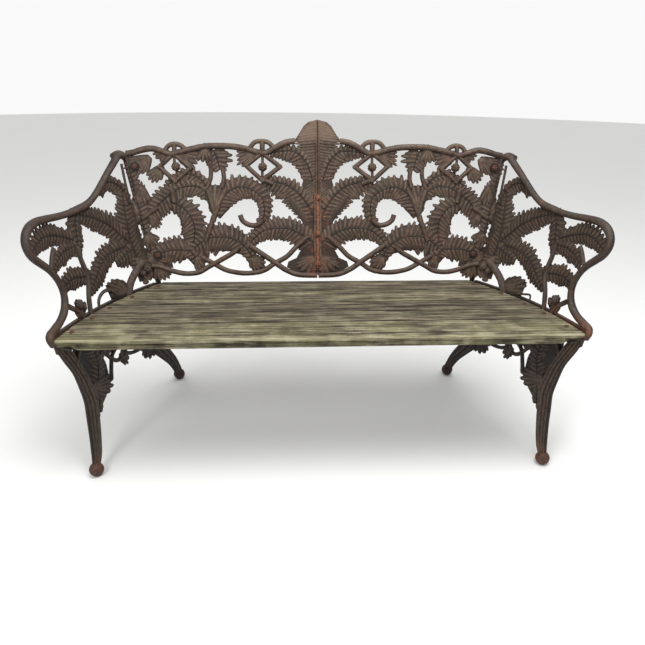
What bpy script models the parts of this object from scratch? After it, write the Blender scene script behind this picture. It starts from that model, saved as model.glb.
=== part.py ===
"""Garden bench: two cast-iron ends, a two-part cast-iron back of fern fronds and a slatted wooden seat.

Metres, +Z up. The origin is on the ground under the middle of the bench, the sitter faces -Y, and the
width runs along X. Every right-hand (+X) casting is modelled, and the left-hand one is its mirror image.

Each casting is drawn flat, as a pattern maker draws it, in pattern units of about 10 mm: (across, up,
depth). A surface function then lays the flat pattern on the leaning back or on the bowed, splayed end.
"""

import math

import bmesh
import bpy
from mathutils import Matrix, Vector

# Driving dimensions of the seat
SEAT_TOP = 0.420
SLAT_THICKNESS = 0.022
SLAT_GAP = 0.004
SEAT_REAR_Y = 0.173
SLAT_WIDTHS = (0.085, 0.100, 0.073, 0.071, 0.113)  # rear slat first
SLAT_EDGE = 0.003
# Half-widths of the bench at its main stations, and where those stations stand front to back
SEAT_REAR_HALF = 0.530
SEAT_FRONT_HALF = 0.715
FRONT_WAIST = (0.300, 0.690)  # height and half-width where the front of an end is drawn in
KNOT_HALF = 0.620
ARM_HALF = 0.770
FRONT_FOOT = (0.650, -0.284)
REAR_FOOT = (0.507, 0.285)
SEAT_FRONT_Y = -0.275
ARM_FRONT_Y = -0.210
END_BOW = 0.030
# The back
BACK_Y = 0.160
BACK_BASE = 0.430
BACK_TILT = math.radians(14)
KNOT_RISE = 0.398
BACK_DROP = -0.017
ARM_TIP_RISE = 0.280
# Castings and their feet
BALL_RADIUS = 0.0235
BALL_HEIGHT = 0.0205
LEDGE = 0.006
LEDGE_REACH = 0.045
LEDGE_SPAN = (0.8, 49.2)
GAP = 0.0003
END_CLEAR = 0.016
SEAT_BOLT_SETBACK = 0.014
FRONT_BOLT_LIMIT = 0.045
# Fasteners
SEAT_BOLT = 0.003
BACK_BOLT = 0.004
JOINT_BOLT = 0.0035
SCREW = 0.002
HOLE_CLEAR = 0.0004
NUT_HEIGHT = 0.005
HEAD_HEIGHT = 0.004
STRAP = 0.004
STRAP_WIDTH = 0.030
SCREW_BITE = 0.012
THREAD_SPARE = 0.003
HOLE_LENGTH = 0.08
HEAD_SHARE = 2.4
NUT_SHARE = 2.1
SHARP_ANGLE = math.radians(40)

# Pattern units. The back pattern is 60.5 units to the corner knot at its top, and 51.7 at its foot.
PATTERN_KNOT = (60.5, 40.5)
PATTERN_FOOT_EDGE = 51.7
END_UNITS = 50.0
END_SEAT_LEVEL = 42.0
END_KNOT_LEVEL = 80.7
DEPTH_UNIT = 0.01
PLATE = 0.4
FROND_TOP = 0.3
STEM_LIFT = 0.35
STEM_FLATNESS = 0.8
LEG_FLATNESS = 0.5
ARM_DEPTH = 0.3
STRIP_STEPS = 8
# Pieces of one casting never share a plane: each next one starts and ends this much further on in depth
BACK_FROND_STAGGER = (0.013, 0.021)
END_FROND_STAGGER = (0.011, 0.023)
DIAMOND_STAGGER = (-0.012, 0.013)
BACK_LEAF_STAGGER = (0.007, 0.019)
END_LEAF_STAGGER = (-0.02, 0.017)
BACK_STEM_STAGGER = 0.009
END_STEM_STAGGER = 0.013
# The joint of the two halves of the back: lands, cover strip in front, flat plate behind, and its bolts
LAND = 0.8
LAND_HALF = 1.4
LAND_SPAN = (4.9, 29)
STRIP_HALF = 0.55
STRIP_SPAN = (5.4, 28.6)
STRIP_DEPTH = 0.55
STRIP_LUMP = 0.0095
BACK_PLATE_HALF = 1.4
BACK_PLATE_SPAN = (5.2, 28.8)
BACK_PLATE_DEPTH = 0.5
JOINT_BOLTS = (27.3, 16.0, 6.6)
# The corner: the back's lugs, bolted to the lugs on the end's post, and the post itself
BACK_LUGS = ((56.5, 36.9), (50.6, 9.6))
LUG_RADIUS = 1.5
LUG_FRONT = 0.9
LUG_BACK = -1.43
LUG_LINK = ((0.7, 0.7), (2.6, 0.7))  # (further across than the lug, radius)
LUG_LINK_DEPTH = -0.95
POST_LEVELS = (-2, 4, 10, 16, 22, 28, 34, 39.5)
POST_SETBACK = 0.6
POST_RADIUS = 1.1
POST_DEPTH = -1.75
KNOT_LINK_DEPTH = -0.75

SIN, COS = math.sin(BACK_TILT), math.cos(BACK_TILT)
KNOT_Z = BACK_BASE + KNOT_RISE * COS
SLAT_BOTTOM = SEAT_TOP - SLAT_THICKNESS

# Fronds of the back: midrib, then the width to the left and to the right of it, walking along it
BACK_FRONDS = (
    (((0.3, 27.5), (1.2, 33.5), (4, 39.8), (8, 42), (13.5, 41.8)), (1, 1.5, 2.2, 1.2),
      (4.8, 4.4, 3.2, 1.8)),
    (((1, 21), (3, 25), (6, 28.8), (10, 31.5), (15.3, 32.8)), (3, 3, 2, 1), (4.5, 5.3, 5, 3)),
    (((2, 13), (5, 16), (9, 17.8), (13, 18), (17, 17.3), (20, 15), (22, 12.8)), (3, 3.5, 3.5, 1),
      (2, 3, 2.8, 1)),
    (((32, 22), (31, 25), (29, 28.5), (26, 30.7), (23, 31), (20, 30), (17.5, 28), (16.6, 25), (16.8, 22),
      (18.3, 19.8)), (2, 4.2, 3.6, 2, 1), (3, 3, 3, 2.5, 0.9)),
    (((32.3, 42), (31, 38.8), (30, 36)), (3.5, 2.8, 0.8), (3.4, 2.8, 0.8)),
    (((33.5, 28), (37, 30.6), (41, 31), (45, 29.3), (49, 26), (52, 22.5), (53, 20)), (1.5, 3.2, 3.5, 1),
      (2, 3.5, 3.5, 1)),
    (((34, 30), (37, 33.5), (40.5, 34.7), (43, 34), (46, 32)), (1.5, 1.5, 0.8), (2, 3, 1)),
    (((45.5, 26), (42, 24.3), (40.3, 22.3), (39.2, 20), (38.8, 17), (39.3, 13.8)), (2, 3, 3.2, 1),
      (2.5, 3.5, 3.6, 1.2)),
    (((20.5, 8), (22.5, 11.5), (25.5, 14), (29, 15.3), (34, 15.1), (37, 13.5), (40, 11)),
      (1, 3.5, 4, 1.5), (1, 3.5, 4, 1.5)),
    (((38, 7.5), (40.5, 10.8), (43.5, 11.3), (47, 11.1), (50.5, 9.8), (52.3, 8)), (2, 4, 4, 2),
      (1, 3.3, 3.5, 1.5)),
)
# Stems and rails of the back: the route, and its radius
BACK_STEMS = (
    (((-1, 2.9), (6, 3.2), (10, 5), (14, 7.5), (18, 10), (21, 12)), 0.75),
    (((3, 15.5), (7, 12), (10, 9), (14, 7), (17, 4.8), (20, 4), (24, 3.8), (29, 4.8), (33, 6.8),
      (37, 9)), 0.75),
    (((25, 12), (27, 10.3), (31, 8), (35, 5.8), (38, 4), (42, 3.6), (46, 4.6), (50, 6), (52.5, 6.3)), 0.75),
    (((7, 44.8), (10, 44.3), (14, 42.3), (16, 41.2), (18.5, 41.3), (22, 42.3), (26, 43.1), (31, 43.3),
      (35, 43.1),
      (39, 42.3), (43, 41.2), (45.5, 40.7), (48, 41.5), (51, 42.4), (54, 42), (57, 41),
        (58.9, 40.7)), 0.95),
    (((13.7, 42.8), (15.5, 44.5), (17.5, 45), (19.5, 44.5), (21.3, 42.3)), 0.45),
    (((17.2, 45), (17.2, 41)), 0.4),
    (((41, 41.8), (42.5, 43.5), (44.5, 44), (46, 43.2), (47.2, 41.5)), 0.45),
    (((33, 20), (32, 23)), 0.7),
    (((18, 20), (19.5, 19.3), (21.5, 19.2), (24, 20.8), (24.5, 22.4)), 0.7),
    (((33, 21), (34.5, 17.5), (35.5, 14)), 0.7),
    (((32.5, 22.5), (33.5, 26), (34.5, 30)), 0.8),
    (((0, 29.8), (0, 44)), 1.0),
    (((17.2, 36.9), (17.2, 33.2)), 0.4),
    (((44, 36.7), (44.3, 32.8)), 0.4),
    (((44.8, 26), (45.5, 29.5)), 0.8),
    (((14, 31.8), (17.5, 33.2)), 0.7),
    (((52, 9), (53.5, 14), (55, 20), (56.5, 26), (57.6, 32), (58.4, 36), (58.9, 40.5)), 0.7),
    (((50, 24.5), (55, 21)), 0.7),
)
# Square trellis bars of the back, each a closed loop with a berry hung inside
DIAMONDS = (
    ((11.8, 37), (17.4, 32.8), (22.3, 37.3), (17.3, 41.2)),
    ((39.5, 36.5), (44.3, 32.5), (49, 36.8), (44.5, 40.8)),
)
DIAMOND_HALF = 0.42
BACK_BERRIES = ((17.2, 36.9, 1.4), (43.9, 36.7, 1.4))
BACK_LEAVES = (
    ((0, 51.3), (2, 51), (3.5, 50), (4.3, 49), (4.9, 48), (5.3, 47), (6, 46), (7.6, 45.3), (7.6, 44),
      (5.6, 43.2),
     (5, 42), (4.5, 41), (3.5, 39), (3, 34), (-1, 30), (-1, 51.3)),
    ((-1, 2.6), (5, 2.6), (10, 4.6), (10.5, 7), (6.5, 8.2), (4.6, 12), (3, 15.5), (-1, 16)),
    ((19, 41.5), (22, 42.2), (25, 42.8), (25.3, 40), (24.8, 37.8), (25.2, 36.6), (23.5, 36.7),
      (21.3, 37.5)),
    ((44.5, 36), (52.5, 35), (52, 32), (50.5, 31.8), (48.5, 32.5), (47, 33.8)),
    ((51, 36.2), (53.5, 38.3), (56, 41), (58.5, 40.6), (59.3, 38), (59.0, 35), (58, 33.6), (55, 34.4),
      (52, 34.5)),
    ((46.5, 41.8), (51, 42), (53, 40.5), (50.5, 39.5), (47, 38.6)),
    ((36.5, 42.6), (43, 41), (41.3, 38), (40, 36), (37, 35), (35.8, 38)),
)

# The end: fronds, stems with radii, leaves and berries, in units along the end and units above the ground
END_FRONDS = (
    (((2.2, 67), (3.2, 70.5), (5.5, 72.8), (9, 73.6), (12.5, 71.5)), (0.8, 1.4, 1, 0.8), (3.5, 3, 2.3, 1)),
    (((4.5, 47), (5.5, 52), (5.8, 57), (5.2, 62), (4.2, 66), (3.6, 70)), (2.6, 4, 4, 3.2, 1.2),
      (3, 4.5, 4, 3.5, 2)),
    (((7, 56.5), (10, 59.5), (12.5, 62), (16, 64.2), (20, 66), (24, 67.5)), (4, 3.3, 2.7, 1.5),
      (4, 3.6, 3, 1.5)),
    (((8, 55), (13, 54.8), (17, 54.2), (20, 52.8), (23, 50.5), (26, 48.3), (28, 47.2)),
      (2.5, 2.8, 3, 0.8), (1.5, 2.5, 3, 1)),
    (((5.5, 54), (10, 52.8), (13.5, 51.8)), (2.5, 2, 0.6), (4, 3, 0.8)),
    (((24.5, 68.5), (26.5, 64.5), (27.3, 61), (28.3, 57.5)), (2, 4, 4, 1), (2, 2.8, 2.2, 0.8)),
    (((29, 61.5), (32, 62.8), (35, 63.8), (39, 64.8), (43, 64.7), (47, 63.2)), (2, 2.5, 2.8, 2),
      (2.5, 2.6, 2.8, 1.5)),
    (((28, 60), (31, 60), (34, 59.8), (37, 58.9), (40, 57)), (1.5, 2, 1), (2, 2.8, 1)),
    (((26, 51.2), (29, 51.5), (32, 52.3), (35, 52.3), (38.5, 51.5)), (2, 2.8, 2), (1.6, 2.8, 1.6)),
    (((40.5, 14), (38.5, 19), (36, 24), (34.5, 28), (35, 33.5), (37, 40)), (2.5, 4.5, 4, 3),
      (1.5, 3.5, 3, 2)),
    (((5.5, 19), (9, 24), (12, 29), (12, 35), (11, 40.5)), (1.5, 2, 2.5, 3), (3, 3.5, 3, 3)),
    (((16, 40.5), (18.5, 35.5), (21.5, 31.5), (26, 29.5), (32, 30)), (2, 3, 3, 2), (2, 2.6, 2.6, 1.5)),
)
END_STEMS = (
    (((28.5, 60), (28, 56), (27, 52), (28, 49), (29.5, 45.5), (30.5, 41)), 0.65),
    (((3.5, 49.5), (8, 46.8), (11, 44.3), (13, 41)), 0.95),
    (((38, 61.5), (39.8, 59.6), (41.3, 57.4)), 0.6),
    (((18.8, 44.5), (22, 45.2), (25, 44.2), (26.5, 41)), 0.45),
    (((11.5, 22.3), (15, 22.3), (18, 22.8), (21, 24), (25, 23.6), (28, 26), (30.5, 30)), 0.6),
    (((30.5, 19.5), (29, 23), (27, 26.5), (23.5, 28.5), (20.5, 31.5)), 0.6),
    (((11, 26), (14.5, 27.2), (18.5, 27), (21.5, 24)), 0.55),
    (((43.2, 28.5), (42.8, 32), (40.5, 34.5), (36.5, 34.8)), 0.6),
    (((38, 46.5), (35, 44), (34, 41)), 0.6),
)
END_LEAVES = (
    ((10.5, 46), (15, 46.8), (18, 47.6), (21, 47), (20, 44.5), (18.8, 41), (13, 41), (12, 44)),
    ((0, 48.5), (3, 48), (5.5, 47), (5.2, 45), (4, 44), (2, 41), (0, 41)),
    ((32, 41), (30.5, 45.5), (33, 47), (35, 46.4), (36, 45), (35.5, 41)),
    ((29.4, 19.5), (30.2, 16.6), (36.5, 16.4), (40, 12.6), (42.5, 14), (41, 24), (34, 25), (29.8, 22.5)),
    ((19.6, 24.6), (20, 21), (21.2, 19.6), (22.6, 20.4), (24, 22.6), (27, 24.2), (25, 26)),
    ((4.5, 15), (8.5, 16.4), (11.5, 16.4), (13.5, 18.4), (13.7, 21), (12.8, 24), (10, 27), (3.5, 22)),
)
END_BERRIES = ((34.5, 46.3, 1.5), (3.2, 46.3, 1.9))
# Heavy members of the end: route, radius at each point, and how much flatter the section is in depth
ARM = (
    (1.3, 80.7, 1.0), (2.4, 80.2, 1.0), (5, 78.3, 0.95), (8, 76.2, 0.9), (11, 74, 0.9), (14, 71.9, 0.9),
    (17, 70.2, 0.9), (20, 69.2, 1.0), (24, 68.7, 1.0), (28, 68.4, 0.9), (33, 68.5, 0.9), (38, 68.9, 0.95),
    (43, 69.1, 1.05), (46.5, 68.4, 1.15), (48.9, 66.9, 1.2), (49.8, 64.8, 1.2), (48.7, 62.2, 1.15),
      (46, 59.9, 1.1),
    (43.1, 57.6, 1.05), (40.9, 55, 1.0), (39.6, 52, 1.0), (39.6, 49, 1.05), (41.2, 46.3, 1.1),
      (44.4, 44.5, 1.0),
    (48, 43.6, 1.05), (50.8, 42.8, 1.1), (50.6, 40.6, 0.9),
)
KNOT_LINK = ((-3.0, 78.6, 1.1), (-1.8, 79.9, 1.2), (0, 80.7, 1.2), (2.6, 80.2, 1.1))
FRONT_LEG = (
    (49.4, 42.3, 1.4), (48, 39.5, 1.9), (46.3, 36, 2.4), (44.4, 31, 2.3), (43.2, 26, 2.6), (42.6, 20, 2.8),
    (44, 15, 2.7), (45.6, 10, 2.5), (47.7, 5, 2.2), (49.6, 2.4, 1.6),
)
REAR_LEG = (
    (1.2, 41.5, 2.0), (3, 36, 2.2), (5, 30, 2.4), (6.2, 24, 2.8), (5.5, 19, 3.0), (3.6, 15, 2.6),
    (1.3, 10, 2.0), (0, 5, 1.6), (0, 2.4, 1.5),
)
SIDE_BAND = ((0.3, 37.4, -0.5), (49.7, 42.6, 0.5))


def mix(a, b, k):
    return a + (b - a) * k


def along(table, z):
    """Value at z from (z, value) pairs, in straight runs, held past both ends."""
    if z <= table[0][0]:
        return table[0][1]
    for (z0, v0), (z1, v1) in zip(table, table[1:]):
        if z <= z1:
            return mix(v0, v1, (z - z0) / (z1 - z0))
    return table[-1][1]


def back_y(z):
    return BACK_Y + (z - BACK_BASE) * SIN / COS


def corner_half(z):
    """Half-width of the corner line, where the back meets an end, above the seat."""
    return mix(SEAT_REAR_HALF, KNOT_HALF, (z - SEAT_TOP) / (KNOT_Z - SEAT_TOP))


def on_back(across, up, depth):
    """A point of the back pattern in space. Depth grows towards the sitter."""
    rise = BACK_DROP + up * (KNOT_RISE - BACK_DROP) / PATTERN_KNOT[1]
    z = BACK_BASE + rise * COS
    edge = mix(PATTERN_FOOT_EDGE, PATTERN_KNOT[0], (z - SEAT_TOP) / (KNOT_Z - SEAT_TOP))
    x = across * corner_half(z) / edge
    out = depth * DEPTH_UNIT
    return Vector((x, BACK_Y + rise * SIN - out * COS, z + out * SIN))


def end_lines(z):
    """(x, y) of the rear corner line and of the front line of the end, at height z."""
    if z >= SEAT_TOP:
        rear = (corner_half(z), back_y(z))
    else:
        rear = (
            mix(REAR_FOOT[0], SEAT_REAR_HALF, z / SEAT_TOP),
            along(((0, REAR_FOOT[1]), (SEAT_TOP / 2, mix(REAR_FOOT[1], back_y(SEAT_TOP), 0.6)),
                   (SEAT_TOP, back_y(SEAT_TOP))), z),
        )
    arm = SEAT_TOP + ARM_TIP_RISE
    front_x = along(((0, FRONT_FOOT[0]), FRONT_WAIST, (SEAT_TOP, SEAT_FRONT_HALF), (arm, ARM_HALF)), z)
    front_y = along(((0, FRONT_FOOT[1]), (SEAT_TOP, SEAT_FRONT_Y), (arm, ARM_FRONT_Y)), z)
    return rear, (front_x, front_y)


def on_end_at(along_end, z, depth):
    """A point of the right-hand end at a real height z. Depth, in metres, grows towards the sitter."""
    (rx, ry), (fx, fy) = end_lines(z)
    k = along_end / END_UNITS
    dx, dy = fx - rx, fy - ry
    length = math.hypot(dx, dy)
    out = END_BOW * 4 * k * (1 - k) - depth
    return Vector((rx + dx * k - dy / length * out, ry + dy * k + dx / length * out, z))


def on_end(across, up, depth):
    """A point of the end pattern in space."""
    if up <= END_SEAT_LEVEL:
        z = SEAT_TOP * up / END_SEAT_LEVEL
    else:
        z = mix(SEAT_TOP, KNOT_Z, (up - END_SEAT_LEVEL) / (END_KNOT_LEVEL - END_SEAT_LEVEL))
    return on_end_at(across, z, depth * DEPTH_UNIT)


def frond_outline(midrib, left, right):
    """The closed outline of a frond: its midrib with a width on each side."""
    sides = ([], [])
    last = len(midrib) - 1
    for i, point in enumerate(midrib):
        before, after = Vector(midrib[max(i - 1, 0)]), Vector(midrib[min(i + 1, last)])
        direction = (after - before).normalized()
        across = Vector((-direction.y, direction.x))
        share = i / last
        for side, widths, sign in ((0, left, 1), (1, right, -1)):
            stations = [(j / (len(widths) - 1), width) for j, width in enumerate(widths)]
            width = along(stations, share)
            sides[side].append(tuple(Vector(point) + across * sign * width))
    return sides[0] + sides[1][::-1]


def lath(start, end, half):
    """The outline of a straight flat bar, run on past both of its ends by its half-width."""
    a, b = Vector(start), Vector(end)
    ahead = (b - a).normalized() * half
    aside = Vector((-ahead.y, ahead.x))
    return [tuple(p) for p in (a - ahead + aside, a - ahead - aside, b + ahead - aside, b + ahead + aside)]


def new_object(name, mesh, collection):
    obj = bpy.data.objects.new(name, mesh)
    collection.objects.link(obj)
    return obj


def mesh_of_curve(curve_object, collection):
    """The curve's mesh, with its caps welded and its faces outward, as a new object. The curve goes."""
    bpy.context.view_layer.update()
    graph = bpy.context.evaluated_depsgraph_get()
    mesh = bpy.data.meshes.new_from_object(curve_object.evaluated_get(graph))
    bm = bmesh.new()
    bm.from_mesh(mesh)
    bmesh.ops.remove_doubles(bm, verts=bm.verts, dist=1e-5)
    bmesh.ops.recalc_face_normals(bm, faces=bm.faces)
    bm.to_mesh(mesh)
    bm.free()
    obj = new_object(curve_object.name + "_mesh", mesh, collection)
    obj.matrix_world = curve_object.matrix_world
    curve = curve_object.data
    bpy.data.objects.remove(curve_object)
    bpy.data.curves.remove(curve)
    return obj


def laid(obj, surface):
    """Lays a piece drawn flat on its surface, and turns its faces outward again."""
    bm = bmesh.new()
    bm.from_mesh(obj.data)
    bmesh.ops.triangulate(bm, faces=[face for face in bm.faces if len(face.verts) > 4])
    for vertex in bm.verts:
        vertex.co = surface(*vertex.co)
    bmesh.ops.recalc_face_normals(bm, faces=bm.faces)
    if bm.calc_volume(signed=True) < 0:
        bmesh.ops.reverse_faces(bm, faces=bm.faces)
    bm.to_mesh(obj.data)
    bm.free()
    return obj


def plate(outline, low, high, surface, collection):
    """A flat outline between two depths, laid on its surface."""
    curve = bpy.data.curves.new("plate", "CURVE")
    curve.dimensions = "2D"
    curve.fill_mode = "BOTH"
    curve.extrude = (high - low) / 2
    spline = curve.splines.new("POLY")
    spline.points.add(len(outline) - 1)
    for point, (x, y) in zip(spline.points, outline):
        point.co = (x, y, 0, 1)
    spline.use_cyclic_u = True
    obj = mesh_of_curve(new_object("plate", curve, collection), collection)
    obj.data.transform(Matrix.Translation((0, 0, (low + high) / 2)))
    return laid(obj, surface)


def bar(route, flatness, depth, surface, collection, sides=1):
    """A bar along (across, up, radius) points, its depth squeezed by flatness, laid on its surface."""
    curve = bpy.data.curves.new("bar", "CURVE")
    curve.dimensions = "3D"
    curve.bevel_depth = 1.0
    curve.bevel_resolution = sides
    curve.use_fill_caps = True
    spline = curve.splines.new("POLY")
    spline.points.add(len(route) - 1)
    for point, (x, y, radius) in zip(spline.points, route):
        point.co = (x, y, 0, 1)
        point.radius = radius
    obj = mesh_of_curve(new_object("bar", curve, collection), collection)
    obj.data.transform(Matrix.Translation((0, 0, depth)) @ Matrix.Diagonal((1, 1, flatness, 1)))
    return laid(obj, surface)


def berry(across, up, radius, surface, collection):
    mesh = bpy.data.meshes.new("berry")
    bm = bmesh.new()
    bmesh.ops.create_icosphere(bm, subdivisions=1, radius=radius)
    bmesh.ops.translate(bm, verts=bm.verts, vec=(across, up, 0.15))
    bm.to_mesh(mesh)
    bm.free()
    return laid(new_object("berry", mesh, collection), surface)


def cylinder(radius, height, place, collection, sides=8):
    """A cylinder of the given height, its middle at place, a matrix whose Z is the axis."""
    mesh = bpy.data.meshes.new("cylinder")
    bm = bmesh.new()
    bmesh.ops.create_cone(bm, cap_ends=True, segments=sides, radius1=radius, radius2=radius, depth=height)
    bm.to_mesh(mesh)
    bm.free()
    obj = new_object("cylinder", mesh, collection)
    obj.data.transform(place)
    return obj


def box(low, high, collection):
    mesh = bpy.data.meshes.new("box")
    bm = bmesh.new()
    bmesh.ops.create_cube(bm, size=1)
    size = [b - a for a, b in zip(low, high)]
    middle = [(a + b) / 2 for a, b in zip(low, high)]
    bmesh.ops.transform(bm, verts=bm.verts, matrix=Matrix.Translation(middle) @ Matrix.Diagonal((*size, 1)))
    bm.to_mesh(mesh)
    bm.free()
    return new_object("box", mesh, collection)


def strip(low, high, surface, collection):
    """A square-edged strip between two corners of the pattern, cut across often enough to follow a bow."""
    obj = box(low, high, collection)
    bm = bmesh.new()
    bm.from_mesh(obj.data)
    for i in range(1, STRIP_STEPS):
        geometry = bm.verts[:] + bm.edges[:] + bm.faces[:]
        place = (mix(low[0], high[0], i / STRIP_STEPS), 0, 0)
        bmesh.ops.bisect_plane(bm, geom=geometry, plane_co=place, plane_no=(1, 0, 0))
    bm.to_mesh(obj.data)
    bm.free()
    return laid(obj, surface)


def ball_foot(place, collection):
    """A ball with a flat under it, standing on the ground."""
    mesh = bpy.data.meshes.new("ball_foot")
    bm = bmesh.new()
    bmesh.ops.create_uvsphere(bm, u_segments=12, v_segments=8, radius=BALL_RADIUS)
    bmesh.ops.translate(bm, verts=bm.verts, vec=(place[0], place[1], BALL_HEIGHT))
    geometry = bm.verts[:] + bm.edges[:] + bm.faces[:]
    cut = bmesh.ops.bisect_plane(bm, geom=geometry, plane_co=(0, 0, 0), plane_no=(0, 0, -1),
      clear_outer=True)
    rim = [item for item in cut["geom_cut"] if isinstance(item, bmesh.types.BMEdge)]
    bmesh.ops.contextual_create(bm, geom=rim)
    bmesh.ops.recalc_face_normals(bm, faces=bm.faces)
    bm.to_mesh(mesh)
    bm.free()
    return new_object("ball_foot", mesh, collection)


def fused(name, pieces, cutters, parts, solver="EXACT"):
    """One closed body: every piece of the collection joined, then every cutter taken away."""
    first = pieces.objects[0]
    pieces.objects.unlink(first)
    base = new_object(name, first.data, parts)
    for collection, operation in ((pieces, "UNION"), (cutters, "DIFFERENCE")):
        if not len(collection.objects):
            continue
        modifier = base.modifiers.new(operation.lower(), "BOOLEAN")
        modifier.operation = operation
        modifier.solver = solver
        modifier.operand_type = "COLLECTION"
        modifier.collection = collection
    bpy.context.view_layer.update()
    graph = bpy.context.evaluated_depsgraph_get()
    mesh = bpy.data.meshes.new_from_object(base.evaluated_get(graph))
    mesh.name = name
    without_pockets(mesh)
    base.modifiers.clear()
    base.data = mesh
    for helper in list(pieces.objects) + list(cutters.objects) + [first]:
        bpy.data.objects.remove(helper)
    return base


def without_pockets(mesh):
    """Fills any pocket that the joined pieces close off, by dropping the shells that face inward."""
    bm = bmesh.new()
    bm.from_mesh(mesh)
    bm.verts.index_update()
    unseen = set(bm.verts)
    while unseen:
        shell, edge = set(), [unseen.pop()]
        while edge:
            vertex = edge.pop()
            shell.add(vertex)
            near = {link.other_vert(vertex) for link in vertex.link_edges} & unseen
            unseen -= near
            edge.extend(near)
        faces = {face for vertex in shell for face in vertex.link_faces}
        volume = 0.0
        for face in faces:
            corners = [vertex.co for vertex in face.verts]
            for b, c in zip(corners[1:], corners[2:]):
                volume += corners[0].dot(b.cross(c)) / 6
        if volume < 0:
            bmesh.ops.delete(bm, geom=list(shell), context="VERTS")
    bm.to_mesh(mesh)
    bm.free()


def finish(obj, material, smooth=True):
    obj.data.materials.clear()
    obj.data.materials.append(material)
    if smooth:
        obj.data.shade_smooth()
        obj.data.set_sharp_from_angle(angle=SHARP_ANGLE)
    return obj


def mirrored(obj, name, parts):
    """The same casting for the left-hand side, as an object of its own."""
    mesh = obj.data.copy()
    mesh.transform(Matrix.Diagonal((-1, 1, 1, 1)))
    mesh.flip_normals()
    return new_object(name, mesh, parts)


def plain_material(name, colour, roughness, metallic):
    material = bpy.data.materials.new(name)
    material.use_nodes = True
    shader = material.node_tree.nodes["Principled BSDF"]
    shader.inputs["Base Color"].default_value = (*colour, 1)
    shader.inputs["Roughness"].default_value = roughness
    shader.inputs["Metallic"].default_value = metallic
    return material


def back_place(across, up, depth):
    """A frame on the back: its Z leans out of the back towards the sitter."""
    out = Vector((0, -COS, SIN))
    up_axis = Vector((0, SIN, COS))
    right = up_axis.cross(out)
    turn = Matrix((right, up_axis, out)).transposed().to_4x4()
    return Matrix.Translation(on_back(across, up, depth)) @ turn


def straight(route, radius):
    return [(x, y, radius) for x, y in route]


def staggered(low, high, stagger, i):
    """The two depths of the i-th of a row of overlapping pieces."""
    return low + stagger[0] * i, high + stagger[1] * i


def back_panel(scratch, cutters, parts):
    """The right half of the back, one casting."""
    for i, (midrib, left, right) in enumerate(BACK_FRONDS):
        depths = staggered(-PLATE, FROND_TOP, BACK_FROND_STAGGER, i)
        plate(frond_outline(midrib, left, right), *depths, on_back, scratch)
    for i, (route, radius) in enumerate(BACK_STEMS):
        depth = STEM_LIFT + BACK_STEM_STAGGER * i
        bar(straight(route, radius), STEM_FLATNESS, depth, on_back, scratch, sides=0)
    for corners in DIAMONDS:
        for i, (start, end) in enumerate(zip(corners, corners[1:] + corners[:1])):
            plate(lath(start, end, DIAMOND_HALF), *staggered(-0.33, 0.38, DIAMOND_STAGGER, i), on_back,
              scratch)
    for i, outline in enumerate(BACK_LEAVES):
        plate(outline, *staggered(0.007 - PLATE, 0.35, BACK_LEAF_STAGGER, i), on_back, scratch)
    for spot in BACK_BERRIES:
        berry(*spot, on_back, scratch)
    land = ((-1, LAND_SPAN[0]), (LAND_HALF, LAND_SPAN[0]), (LAND_HALF, LAND_SPAN[1]), (-1, LAND_SPAN[1]))
    plate(land, -LAND, LAND, on_back, scratch)
    for across, up in BACK_LUGS:
        height = (LUG_FRONT + PLATE) * DEPTH_UNIT
        place = back_place(across, up, (LUG_FRONT - PLATE) / 2)
        cylinder(LUG_RADIUS * DEPTH_UNIT, height, place, scratch)
        cylinder(BACK_BOLT + HOLE_CLEAR, HOLE_LENGTH, back_place(across, up, 0), cutters)
    joint_holes(cutters)
    box((-0.05, -0.1, 0.3), (GAP / 2, 0.6, 1.2), cutters)
    return fused("back_panel_right", scratch, cutters, parts, solver="MANIFOLD")


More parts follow.
